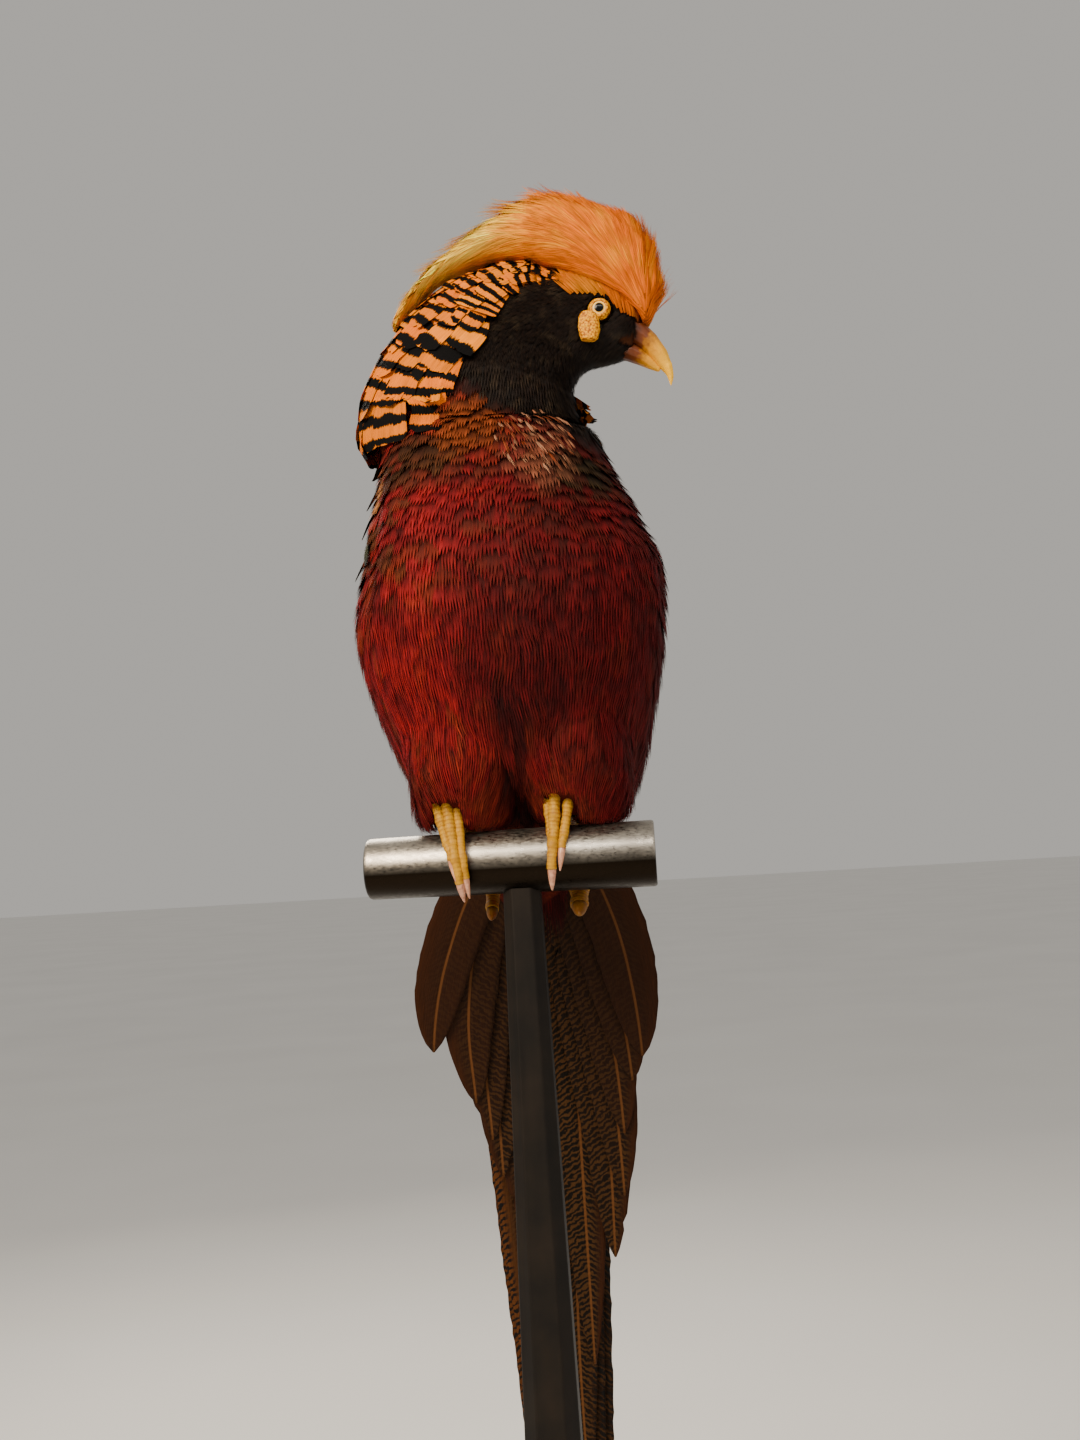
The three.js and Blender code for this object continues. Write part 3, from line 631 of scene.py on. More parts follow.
def vanes(path, normals, half_width, colour, seed, strips=7, rows=3, rise=(0.3, 3.2), rounding=0.4,
          ragged=0.06, camber=0.12, fray=0.45, narrow=0.5, streak=0.14, root_shade=0.4, tip_shade=1.0,
          bluntness=2.0, shade_span=(0.0, 0.67)):
    """Feathers as joined sheets. Each vane is a row of strips, joined at its root and parted at its
    tip where fray is above 0, or one whole sheet where it is 0."""
    rng = np.random.default_rng(seed)
    count = len(path)
    half = np.broadcast_to(np.asarray(half_width, float), (count,))
    length = np.linalg.norm(np.diff(path, axis=1), axis=2).sum(1)
    chance = rng.random(count)
    side = unit(np.cross(np.gradient(path, axis=1), normals))
    step = np.linspace(0, 1, rows + 1)
    columns = strips if fray else strips + 1
    middle = (np.arange(strips) + 0.5) / strips * 2 - 1 if fray else np.linspace(-1, 1, columns)
    reach = 1 - rounding * np.abs(middle) ** bluntness + ragged * rng.normal(size=(count, columns))
    strip_tone = 1 + streak * rng.normal(size=(count, columns))
    if fray:
        share = np.clip(reach, 0.3, 1.08)[..., None] * step
        spread = np.clip((1 - step) / fray, 0, 1) ** 0.8 * 1.12 / strips
        across = middle[:, None, None] + spread[:, None] * (-1, 1)
        across = np.broadcast_to(across, (count, strips, rows + 1, 2))
        share = np.broadcast_to(share[..., None], across.shape)
        strip_tone = strip_tone[..., None, None]
        flat = np.arange(count * strips)[:, None] * (2 * rows + 1)
        corner = np.arange(rows - 1) * 2
        quads = np.stack([corner, corner + 1, corner + 3, corner + 2], 1)
        triangles = flat + [2 * rows - 2, 2 * rows - 1, 2 * rows]
        keep = np.ones((rows + 1, 2), bool)
        keep[rows, 1] = False
    else:
        share = reach[:, None] * step[:, None]
        across = np.broadcast_to(middle, share.shape)
        strip_tone = strip_tone[:, None]
        flat = np.arange(count)[:, None] * ((rows + 1) * columns)
        corner = (np.arange(rows)[:, None] * columns + np.arange(strips)).ravel()
        quads = np.stack([corner, corner + 1, corner + columns + 1, corner + columns], 1)
        triangles = np.zeros((0, 3), int)
        keep = True
    grow = (slice(None),) + (None,) * (share.ndim - 1)
    widening = narrow + (1 - narrow) * np.clip(share / 0.45, 0, 1)
    offset = across * widening * half[grow]
    lift = rise[0] + (rise[1] - rise[0]) * share - camber * half[grow] * across ** 2
    places = (
        along_shafts(path, share)
        + along_shafts(side, share) * offset[..., None]
        + along_shafts(normals, share) * lift[..., None]
    )
    # Each vane darkens towards its root: partly the feather's own darker base, partly painted shade where
    # the feathers above overlap it.
    tone = root_shade + (tip_shade - root_shade) * smooth(share, *shade_span)
    tone = tone * np.broadcast_to(strip_tone, share.shape) * (0.86 + 0.28 * chance[grow])
    tint = np.broadcast_to(colour, (count, 3))[grow] * tone[..., None]
    patch = np.stack([across * 0.5, share - 0.5], -1) * TUFT_PATCH + unwrap(path[:, 0])[grow]
    kept = np.broadcast_to(keep, share.shape)
    offset, down, chance, across = (np.broadcast_to(value, share.shape)[kept] for value in (
        offset, (share - 1) * length[grow], chance[grow], across,
    ))
    return {
        "places": places[kept], "quads": (flat[:, None] + quads).reshape(-1, 4), "triangles": triangles,
        "tint": tint[kept], "vane": np.stack([offset, down], 1), "chance": chance, "across": across,
        "share": share[kept], "bake": patch[kept],
    }


def feather_piece(name, sheets, material, replaced=()):
    """Joins sheets of feathers into one piece, with the marks and maps that its material reads."""
    offsets = np.cumsum([0] + [len(sheet["places"]) for sheet in sheets])
    joined = {key: np.concatenate([sheet[key] for sheet in sheets]) for key in (
        "places", "tint", "vane", "chance", "bake",
    )}
    quads, triangles = (
        np.concatenate([sheet[kind] + offset for sheet, offset in zip(sheets, offsets)])
        for kind in ("quads", "triangles")
    )
    corners = np.concatenate([quads.ravel(), triangles.ravel()]).astype(np.int32)
    starts = np.concatenate([
        np.arange(len(quads)) * 4, len(quads) * 4 + np.arange(len(triangles)) * 3,
    ]).astype(np.int32)
    mesh = bpy.data.meshes.new(name)
    mesh.vertices.add(len(joined["places"]))
    mesh.vertices.foreach_set("co", metres(joined["places"]).ravel())
    mesh.loops.add(len(corners))
    mesh.loops.foreach_set("vertex_index", corners)
    mesh.polygons.add(len(starts))
    mesh.polygons.foreach_set("loop_start", starts)
    mesh.update(calc_edges=True)
    mesh.polygons.foreach_set("use_smooth", np.ones(len(starts), bool))
    for layer, values in (("OFBake", joined["bake"]), ("Vane", joined["vane"])):
        mesh.uv_layers.new(name=layer).data.foreach_set("uv", values[corners].ravel())
    mark(mesh, "Marking", np.clip(joined["tint"], 0, 1))
    mark(mesh, "Chance", joined["chance"])
    return ridden(name, mesh, material, replaced)


def on_vane(tree):
    """Where a place lies on its own vane, aside from the shaft and down from the tip."""
    place = node(tree, "ShaderNodeUVMap", uv_map="Vane").outputs["UV"]
    parts = node(tree, "ShaderNodeSeparateXYZ", {"Vector": place}).outputs
    return parts["X"], parts["Y"]


def vane_clouds(tree, aside, down, apart, scale=1.0, detail=2.0, roughness=0.5):
    """Noise drawn out along a vane, apart from that of the next feather."""
    return clouds(tree, node(tree, "ShaderNodeCombineXYZ", {
        "X": aside, "Y": down, "Z": maths(tree, "MULTIPLY", painted(tree, "Chance"), apart),
    }).outputs["Vector"], scale, detail, roughness)


# Barbs: the fine lines that run out from a feather's shaft, as a tone and a height over the vane.
barbs = bpy.data.node_groups.new("Barbs", "ShaderNodeTree")
for label, kind in (("Fineness", "INPUT"), ("Depth", "INPUT"), ("Tone", "OUTPUT"), ("Height", "OUTPUT")):
    barbs.interface.new_socket(label, in_out=kind, socket_type="NodeSocketFloat")
entry = node(barbs, "NodeGroupInput").outputs
aside, down = on_vane(barbs)
lines = vane_clouds(
    barbs, maths(barbs, "MULTIPLY", aside, entry["Fineness"]), maths(barbs, "MULTIPLY", down, 0.09),
    90.0, roughness=0.6,
)
sharp = ranged(barbs, lines, 0.3, 0.7)
tone = maths(barbs, "MULTIPLY_ADD", maths(barbs, "SUBTRACT", sharp, 1.0), entry["Depth"], 1.0)
node(barbs, "NodeGroupOutput", {"Tone": tone, "Height": sharp})


def feather_finish(name, roughness, fineness, depth, **sockets):
    """A feather material: the coat's own marking, cut by the fine lines of the barbs."""
    material, tree = new_finish(name, roughness, **sockets)
    lines = node(tree, "ShaderNodeGroup", node_tree=barbs)
    lines.inputs["Fineness"].default_value = fineness
    lines.inputs["Depth"].default_value = depth
    marking = painted(tree, "Marking", "Color")
    feed(
        tree, Base_Color=blend(tree, 1.0, marking, lines.outputs["Tone"], blend_type="MULTIPLY"),
        Normal=relief(tree, lines.outputs["Height"], 0.5, 0.0003),
    )
    return material


def over(tree, share, colour):
    """Lays a colour over a finish as far as share says."""
    below = tree.nodes["Principled BSDF"].inputs["Base Color"].links[0].from_socket
    feed(tree, Base_Color=blend(tree, share, below, (*colour, 1)))


def directions(x, y, z):
    """Directions put together from their parts, each a number or one value for each place."""
    return np.stack(np.broadcast_arrays(x, y, z), 1)


def down_the_body(points):
    """The way the coat lies on the trunk: down, and in towards each thigh low on the belly."""
    x, _, z = points.T
    low = 1 - smooth(z, 35, 95)
    thigh = np.where(x < 6, -21, 34)
    parting = smooth(np.abs(x - 6), 4, 20)
    return directions(low * parting * (thigh - x) * 0.016 + 0.28 * blotch(points, 15, 9), 0, -1)


def near_toes(x, y, reach):
    return (np.minimum(*(np.abs(x - toe) for toe in TOES_X)) < reach) & (y < 4)


def breast(points):
    x, y, z = points.T
    inside = (turn_of(points) < 118) & (z > 19) & (z < collar(points) + 2) & ((y < 62) | (z < 60))
    return inside & ~(near_toes(x, y, 9) & (z < 37))


coat_finish = feather_finish("coat_barbs", 0.75, 1.7, 0.55, Specular_IOR_Level=0.12)
roots = scatter(body_bed, 3.7, breast, 11)
x, y, z = roots.T
rng = np.random.default_rng(12)
length = np.interp(z, [20, 34, 60, 110, 165, 205], [9, 17, 30, 24, 15, 13])
length = length * rng.uniform(0.85, 1.15, len(roots))
lowest = np.where(near_toes(x, y, 10), 30, 16.5)
length = np.minimum(length, np.maximum(6, (z - lowest) * 1.1))
width = np.interp(z, [20, 60, 110, 160, 205], [3.6, 4.2, 5.4, 6.4, 5.0])
loose = 0.75 * (1 - smooth(z, 50, 100)) * smooth(np.abs(x - 5), 20, 45)
path, normals = lie(body_bed, roots, down_the_body, length, 4, loose)
dusty = 0.7 * spot(roots, (27, -46, 188), (16, 26, 18)) * rng.random(len(roots))
gilt = spot(roots, (-49, -17, 182), (9, 14, 13)) * (rng.random(len(roots)) < 0.6)
colour = mix(mix(plumage(roots), mix(PALE_PINK, RUST, 0.7), dusty), paint(226, 150, 88), 0.9 * gilt)
scaly = z + 26 * blotch(roots, 12, 14) > 138
for name, half, seed in (("right", x < MIDDLE_X, 21), ("left", x >= MIDDLE_X, 22)):
    sheets = [vanes(
        path[part], normals[part], width[part], colour[part], seed, strips=8, rows=3,
        rise=(0.3, 4.4), rounding=0.5, ragged=0.08, fray=fray, streak=streak, root_shade=0.24,
        shade_span=(0.42, 0.95), tip_shade=1.1,
    ) for part, fray, streak in ((half & ~scaly, 0.5, 0.18), (half & scaly, 0.26, 0.12))]
    feather_piece(f"breast_feathers_{name}", sheets, coat_finish)

roots = scatter(body_bed, 3.4, lambda points: spot(points, (25, -46, 192), (17, 26, 17)) > 0.2, 23)
length = rng.uniform(6, 14, len(roots))
path, normals = lie(body_bed, roots, lambda points: down_the_body(points) + (0.35, -0.2, 0), length, 3)
feather_piece("dusty_streaks", [vanes(
    path, normals, 0.8, mix(PALE_PINK, RUST, rng.uniform(0.2, 1, len(roots))), 24, strips=3, rows=3,
    rise=(2.0, 5.0), rounding=0.3, ragged=0.15, fray=0.8, streak=0.2, root_shade=0.5,
)], coat_finish)

# ---------------------------------------------------------------- throat and face feathers
# Very short, dense, dark feathers cover the face, ear and throat. They run back from the bill and
# down the throat, and grow longer towards the foot of the neck.
EYE_MIDDLE = np.array((57.8, -5, 253.6))
WATTLE_X = 52.3
BROW_LINE = [(40, 262), (52.5, 261.8), (60.8, 259.1), (66.9, 251.8), (77.3, 248), (81.4, 245.7)]


def up_the_neck(points):
    """How high places lie along the neck, which leans."""
    return points[:, 2] + 0.28 * points[:, 0]


def back_from_the_bill(points):
    face = directions(-0.72, 0, -0.60 + 0.25 * smooth(points[:, 2], 255, 275))
    return mix((-0.12, 0, -1), face, smooth(up_the_neck(points), 222, 262))


def bare(points):
    """Places on the head that grow no feathers: round the eyes, under the wattles, at the bill."""
    x, y, z = points.T
    eye = np.hypot(x - EYE_MIDDLE[0], z - EYE_MIDDLE[2]) < 5.2
    cheek = (np.abs(x - WATTLE_X) < 4.2) & (z < 252) & (z > 240)
    return (eye | cheek) & (np.abs(y - HEAD_MIDDLE_Y) > 7) | (gape(points) > 0.5)


def under_the_brow(points):
    """Whether places on the head lie below the edge of the crest's brow."""
    return points[:, 2] < read_off(points[:, 0], BROW_LINE)


def throat(points):
    return (points[:, 2] > collar(points) - 2) & (up_the_neck(points) < 232)


def face(points):
    below = under_the_brow(points) | (points[:, 0] < 44)
    return (up_the_neck(points) >= 228) & (points[:, 2] > collar(points)) & ~bare(points) & below


sheets = []
for region, gap, length, width, seed, lift in (
    (throat, 2.6, 10.0, 2.6, 31, 3.0), (face, 1.45, 5.0, 1.3, 32, 1.7),
):
    roots = scatter(body_bed, gap, region, seed)
    sheets.append(vanes(
        *lie(body_bed, roots, back_from_the_bill, length, 3), width, plumage(roots), seed, strips=4,
        rows=2, rise=(0.2, lift), rounding=0.3, ragged=0.1, fray=0.7, streak=0.22, root_shade=0.35,
    ))
face_finish = feather_finish("face_barbs", 0.6, 2.4, 0.5, Specular_IOR_Level=0.14)
feather_piece("face_feathers", sheets, face_finish)

# ---------------------------------------------------------------- mantle, back and rump feathers
# The mantle over the shoulders is of round green feathers with velvet black rims, laid like
# scales, and maroon towards the breast, where they are also darkened as painted shade. Below it
# the back and rump have loose golden feathers.
BLACK = paint(10, 9, 9)


def rimmed(sheet, inner):
    """Darkens the outer rim of whole vanes."""
    beside = smooth(np.abs(sheet["across"]), inner, inner + 0.25)
    sheet["tint"] = mix(sheet["tint"], BLACK, np.maximum(beside, smooth(sheet["share"], inner + 0.06, 0.97)))
    return sheet


def mantle(points):
    return (turn_of(points) > 112) & (points[:, 2] > 122) & (up_the_neck(points) < 212)


def rump(points):
    turn, z = turn_of(points), points[:, 2]
    return (turn > 112) & ((turn > 161) | (z < 38)) & (z < 130) & (z > -8)


def down_the_back(points):
    return directions((MIDDLE_X - points[:, 0]) * 0.006, 0.2, -1)


green_finish = feather_finish("mantle_sheen", 0.60, 1.3, 0.35, Metallic=0.1, Specular_IOR_Level=0.06)
roots = scatter(body_bed, 5.6, mantle, 41)
# The scales darken towards the breast: partly their own maroon, partly painted shade.
maroon_and_shade_edge = 1 - 0.62 * smooth(turn_of(roots), 140, 124)
feather_piece("mantle_feathers", [rimmed(vanes(
    *lie(body_bed, roots, down_the_back, 17.0, 4), 6.6, plumage(roots) * maroon_and_shade_edge[:, None], 41,
    strips=6, rows=5, rise=(1.8, 5.4), rounding=0.55, ragged=0.01, fray=0, streak=0.06, root_shade=0.6,
), 0.62)], green_finish)

rump_finish = feather_finish("rump_barbs", 0.55, 1.8, 0.4, Specular_IOR_Level=0.25)
roots = scatter(body_bed, 4.4, rump, 42)
feather_piece("rump_feathers", [vanes(
    *lie(body_bed, roots, down_the_back, 27.0, 4), 5.0, plumage(roots), 42, strips=7, rows=3,
    rise=(0.4, 4.0), rounding=0.35, ragged=0.08, fray=0.6, streak=0.12, root_shade=0.35,
)], rump_finish)

# ---------------------------------------------------------------- wings
# Each wing is folded along the flank. Small maroon coverts lie over its top, then rows of chestnut
# and barred coverts, dark blue inner quills and the long brown barred quills that close the fold.
CINNAMON = paint(128, 72, 32)
NIGHT_BLUE = paint(22, 32, 78)
WING_FRONT = [0.12, 0.10, 0.10, 0.13, 0.20, 0.30, 0.40]
WING_BACK = [0.20, 0.33, 0.39, 0.42, 0.43, 0.44, 0.45]
WING_HEIGHT = [186, 160, 132, 102, 72, 44, 12]
SHOULDER_TIPS = [  # root and length of each
    (-51, -13, 192, 16), (-54, -10, 180, 17), (-55, -9, 168, 19), (-53, -14, 157, 25), (-58, -4, 150, 21),
]


def seen_from(bed, starts, aims):
    """The places on a bed that lie in some directions from some starts, and the way out there."""
    found = [
        bed["tree"].ray_cast(Vector(start), Vector(aim).normalized())
        for start, aim in zip(starts.reshape(-1, 3).tolist(), aims.reshape(-1, 3).tolist())
    ]
    places = np.array([tuple(hit[0]) if hit[0] else (0, 0, 200) for hit in found])
    outward = bed["outward"][[hit[2] or 0 for hit in found]]
    return places.reshape(starts.shape), outward.reshape(starts.shape)


def on_wing(side, across, down):
    """Places on a folded wing: across runs from its front edge to its back edge, down from 0 to 1."""
    height, front, back = (
        np.interp(down, np.linspace(0, 1, len(WING_HEIGHT)), values)
        for values in (WING_HEIGHT, WING_FRONT, WING_BACK)
    )
    angle = math.pi * (front * (1 - across) + back * across)
    starts = np.stack([np.full(height.shape, MIDDLE_X), spine(height), height], -1)
    return seen_from(body_bed, starts, np.stack([side * np.cos(angle), np.sin(angle), 0 * angle], -1))


def wing_row(side, starts, ends, half_width, colour, seed, rise, rows=6):
    """A row of wing feathers; starts and ends tell how far across the wing and down it each lies."""
    share = np.linspace(0, 1, 6)
    across, down = (
        first[:, None] * (1 - share) + last[:, None] * share
        for first, last in zip(np.broadcast_arrays(*starts), np.broadcast_arrays(*ends))
    )
    return vanes(
        *on_wing(side, across, down), half_width, colour, seed, strips=6, rows=rows, rise=rise,
        rounding=0.5, ragged=0.006, fray=0, streak=0.05, root_shade=0.75, camber=0.16,
    )


quill_finish = feather_finish("wing_quills", 0.5, 1.4, 0.35, Specular_IOR_Level=0.3)
covert_finish = feather_finish("wing_coverts", 0.65, 1.5, 0.4, Specular_IOR_Level=0.08)
for name, side, seed in (("right", -1, 51), ("left", 1, 61)):
    rng = np.random.default_rng(seed)
    outer, middle, inner = (np.linspace(*ends) for ends in (
        (0.02, 0.98, 9), (0.05, 0.98, 10), (0.70, 0.99, 4),
    ))
    feather_piece(f"wing_quills_{name}", [wing_row(
        side, (outer * 0.8, 0.50), (0.30 + outer * 0.7, 1.0 - 0.03 * outer), 6.2,
        mix(CHESTNUT, paint(60, 38, 22), outer), seed, (0.5, 2.0), 9,
    ), wing_row(
        side, (middle, 0.42 + 0.04 * middle), (0.15 + 0.85 * middle, 0.86), 6.8, paint(84, 46, 24), seed + 1,
        (0.8, 3.4), 8,
    ), wing_row(
        side, (inner, 0.36), (inner, 0.74 + 0.05 * inner), 6.6, NIGHT_BLUE, seed + 2, (2.6, 5.6), 7,
    )], quill_finish)
    coverts = []
    for down, reach, count, width, colour in (
        (0.36, 0.17, 11, 7.0, CINNAMON), (0.28, 0.14, 11, 7.0, CHESTNUT),
        (0.21, 0.12, 11, 6.6, paint(92, 30, 20)), (0.14, 0.11, 10, 6.0, paint(104, 26, 20)),
        (0.07, 0.11, 8, 5.6, paint(112, 24, 20)), (0.01, 0.10, 6, 5.2, DEEP_RED),
    ):
        places = np.linspace(0.02, 0.98, count) + rng.normal(size=count) * 0.01
        coverts.append(wing_row(
            side, (places, down), (places + 0.02, down + reach), width,
            mix(colour, DEEP_RED, 0.3 * rng.random(count)), seed + int(down * 100),
            (0.8, 2.6 + 2.4 * (0.4 - down)),
        ))
    feather_piece(f"wing_coverts_{name}", coverts, covert_finish)
    if name == "right":
        tips = np.array(SHOULDER_TIPS, float)
        path, normals = lie(
            body_bed, tips[:, :3], lambda points: down_the_body(points) + (0.35, -0.5, 0), tips[:, 3], 4,
        )
        feather_piece("shoulder_tips", [rimmed(vanes(
            path, normals, 3.4, paint(44, 46, 24), 59, strips=6, rows=5, rise=(2.8, 6.0), rounding=0.7,
            ragged=0.03, fray=0, streak=0.12, root_shade=0.5,
        ), 0.55)], covert_finish)

# ---------------------------------------------------------------- cape
# The ruff is of broad, square-ended orange feathers, each crossed by two blue-black bars. They
# hang from the nape in rows, and show as orange and black bands that widen towards the shoulder.
ORANGE = paint(234, 134, 0)
AMBER = paint(226, 110, 0)
NECK_FRONT = [
    (49, 192), (46, 208), (44, 220), (48, 227), (41.9, 229.6), (50, 229.9), (55.8, 231.3), (60.1, 233),
    (63.1, 235.3),
]
NECK_BACK = [
    (-53, 192), (-53, 214), (-45, 236), (-30, 257), (-9, 273), (20, 281), (47, 278), (72.1, 263.5),
    (77.2, 251.8),
]
NECK_HALF_WIDTH = [37, 34, 30, 26, 21, 17, 14.8, 13, 8.5]
CAPE_NEAR = [0.91, 0.91, 0.935, 0.89, 0.74]
CAPE_FAR = [-0.46, -0.40, -0.20, 0.0, 0.06]
CAPE_ROWS = 11
CAPE_ROW_COUNT = 14
CAPE_LENGTH = 105
CAPE_WEB = {"strips": 10, "rows": 7, "fray": 0, "streak": 0.05, "narrow": 0.6}


def curve(values, place):
    """Smooth values through evenly spaced knots, read at places from 0 to 1."""
    values = np.asarray(values, float)
    if values.ndim == 1:
        return curve(values[:, None], place)[..., 0]
    last = len(values) - 1
    place = np.clip(place, 0, 1) * last
    low = np.minimum(np.floor(place).astype(int), last - 1)
    part = (place - low)[..., None]
    p0, p1, p2, p3 = (values[np.clip(low + k, 0, last)] for k in (-1, 0, 1, 2))
    bend = 2 * p0 - 5 * p1 + 4 * p2 - p3 + part * (3 * (p1 - p2) + p3 - p0)
    return p1 + 0.5 * part * (p2 - p0 + part * bend)


def on_cape(across, up):
    """Places on the ruff: across runs from the throat on the near side round the nape, up from 0 to 1."""
    height = 0.02 + 0.64 * up
    front, back = curve(NECK_FRONT, height), curve(NECK_BACK, height)
    middle = (front + back) / 2
    reach = np.linalg.norm(back - front, axis=-1, keepdims=True) / 2
    behind = (back - front) / (2 * reach)
    angle = math.pi * (curve(CAPE_NEAR, up) * (1 - across) + curve(CAPE_FAR, up) * across)
    backwards = reach * np.sin(angle)[..., None] * behind
    sideways = curve(NECK_HALF_WIDTH, height) * np.cos(angle)
    aims = np.stack([backwards[..., 0], sideways, backwards[..., 1]], -1)
    start_y = np.interp(middle[..., 1], [192, 225], [0, HEAD_MIDDLE_Y])
    return seen_from(cape_bed, np.stack([middle[..., 0], start_y, middle[..., 1]], -1), aims)


def banded(tree, value, first, full, last):
    """A mask that comes and goes once in every whole step of a value."""
    return ramp(tree, maths(tree, "FRACT", value), [
        (0.0, (0, 0, 0)), (first, (0, 0, 0)), (full, (1, 1, 1)), (last, (1, 1, 1)), (1.0, (0, 0, 0)),
    ])


cape_shape = clothed("cape_bed", ["trunk", "neck", "head", "cape"], 0.0008, 0.0018, 6)
cape_bed = bed_for(cape_shape, lambda points: np.full(len(points), 0.8 + 2.6))
cape_shape.free()

cape_finish = feather_finish("cape_bars", 0.7, 1.6, 0.32, Specular_IOR_Level=0.05)
tree = cape_finish.node_tree
aside, down = on_vane(tree)
ragged = vane_clouds(
    tree, maths(tree, "MULTIPLY", aside, 1.5), maths(tree, "MULTIPLY", down, 0.14), 60.0, detail=3.0,
)
swaying = clouds(tree, object_place(tree), 90.0, 1.0)
swayed = maths(tree, "MULTIPLY_ADD", swaying, 0.6, painted(tree, "Bars"))
over(tree, banded(tree, maths(tree, "MULTIPLY_ADD", ragged, 0.34, swayed), 0.46, 0.52, 0.95), BLACK)


def cape_sheet(across, first_up, drop, half_width, shade, seed, **shape):
    """A row of cape feathers and which feather each of its corners belongs to."""
    share = np.linspace(0, 1, 6)
    path, normals = on_cape(np.clip(across[:, None] + 0 * share, 0, 1), first_up[:, None] - drop * share)
    colour = mix(ORANGE, AMBER, rng.random(len(across))) * shade
    sheet = vanes(path, normals, half_width, colour, seed, **CAPE_WEB, **shape)
    corners_each = (CAPE_WEB["rows"] + 1) * (CAPE_WEB["strips"] + 1)
    return sheet, np.arange(len(sheet["places"])) // corners_each


rng = np.random.default_rng(71)
heights = np.cumsum(np.linspace(1.7, 0.75, CAPE_ROWS))
heights = 1.06 * heights / heights[-1] - 0.02
up_marks = np.linspace(-0.3, 1.4, 80)
bars_below = np.cumsum((up_marks[1] - up_marks[0]) * CAPE_LENGTH / np.interp(up_marks, [0, 1], [9.5, 4.6]))
sheets, bars = [], []
for row, up in enumerate(heights):
    band, width = (np.interp(row, [0, CAPE_ROWS - 1], ends) for ends in ([12.0, 5.5], [9.5, 5.0]))
    across = np.linspace(0.0, 1.0, CAPE_ROW_COUNT) + (0.5 / CAPE_ROW_COUNT if row % 2 else 0)
    across = across + rng.normal(size=CAPE_ROW_COUNT) * 0.01
    if row == 0:
        across = across * 0.985 + 0.015
    drop = 2.2 * band / CAPE_LENGTH + 0.02
    jitter = rng.normal(size=CAPE_ROW_COUNT) * 0.012
    shorter = 0.10 * smooth(across, 0.42, 0.28) * (row < 2)
    first_up = up + jitter + 0.02 + 0.04 * (1 - across) ** 2 + shorter
    sheet, feather = cape_sheet(
        across, first_up, drop, width, 1, 72 + row, rise=(0.5, 2.6), rounding=0.10, ragged=0.03,
        bluntness=4.0, camber=0.06, root_shade=0.85,
    )
    sheets.append(sheet)
    height = first_up[feather] - drop * sheet["share"]
    step = rng.uniform(-0.16, 0.16, CAPE_ROW_COUNT)[feather]
    tilt = (0.36 - 0.46 * smooth(height, 0.22, 0.62)) * np.clip(0.35 - across[feather], 0, 1)
    lowest_bars = 0.06 + (1 - sheet["share"]) * drop * CAPE_LENGTH / 9.5
    bars.append(np.interp(height + tilt, up_marks, bars_below) + step if row else lowest_bars)
# The edge on the far side stands off the throat.
# Painted shade: these far feathers take 0.7 of the cape's colour.
sheet, feather = cape_sheet(
    np.array([0.91, 0.95, 0.97, 1.0]), np.array([0.44, 0.37, 0.42, 0.33]), 0.24, 4.2, 0.7, 90,
    rise=(0.5, 13.0), rounding=0.35, ragged=0.05, bluntness=2.5, camber=0.1, root_shade=0.7,
)
sheets.append(sheet)
bars.append(0.1 + (1 - sheet["share"]) * 3.2 + 0.3 * feather)
cape = feather_piece("cape_feathers", sheets, cape_finish, ["cape"])
mark(cape.data, "Bars", np.concatenate(bars))

# ---------------------------------------------------------------- crest
# Long silky orange filaments stand up from the forehead and sweep back over the crown to fall down
# the nape. They grow on a soft core of the same feathers.
CREST_OUTLINE = [
    (-42.5, 258), (-33, 274), (-16, 292), (9, 310), (38, 319), (60, 312), (81, 299), (89, 274), (81.5, 250),
]
CREST_LEAN = [
    (-45, 243), (-30, 226), (-15, 210), (5, 190), (22, 172), (40, 150), (60, 126), (76, 106), (90, 95),
]
SILK = {
    "strips": 3, "rows": 5, "rounding": 0.25, "ragged": 0.14, "fray": 0.75, "streak": 0.16, "narrow": 0.7,
}


def below_rim(points):
    """How far below the crest's outline places lie."""
    return read_off(points[:, 0], CREST_OUTLINE) - points[:, 2]


def crest_depth(points):
    """The silk stands loosely above the crown and lies close over the brow."""
    x, _, z = points.T
    top = smooth(below_rim(points), 18, 4)
    loose = 1.6 + 4.8 * top * smooth(x, -44, -10) * (1 - 0.6 * smooth(x, 50, 84))
    return loose * (1 - 0.8 * smooth(x, 72, 84) * smooth(z, 276, 262))


def crest_colour(points):
    x = points[:, 0]
    # The top of the crest is a paler gold: partly its own colour, partly a painted highlight where light
    # falls from above and the left.
    gold_and_highlight = smooth(below_rim(points), 38, 12) * (1 - smooth(x, 18, 52))
    colour = mix(paint(244, 132, 0), paint(255, 214, 84), gold_and_highlight)
    colour = mix(colour, paint(255, 178, 50), 0.8 * (1 - smooth(x, -34, -6)))
    colour = mix(colour, paint(216, 94, 0), smooth(x, 30, 80) * 0.75)
    return mix(colour, paint(255, 164, 0), smooth(blotch(points, 7, 6), -0.1, 0.5) * 0.5)


def over_the_crown(points):
    x, y, _ = points.T
    lean = np.radians(read_off(x, CREST_LEAN))
    return directions(np.cos(lean), -(y - HEAD_MIDDLE_Y) * 0.03, np.sin(lean))


crest_shape = clothed("crest_core", ["crest"], 0.0006, 0.0015, 8)
crest_bed = bed_for(crest_shape, crest_depth)
dyed("crest_core", crest_shape, [], crest_colour, 0.8)

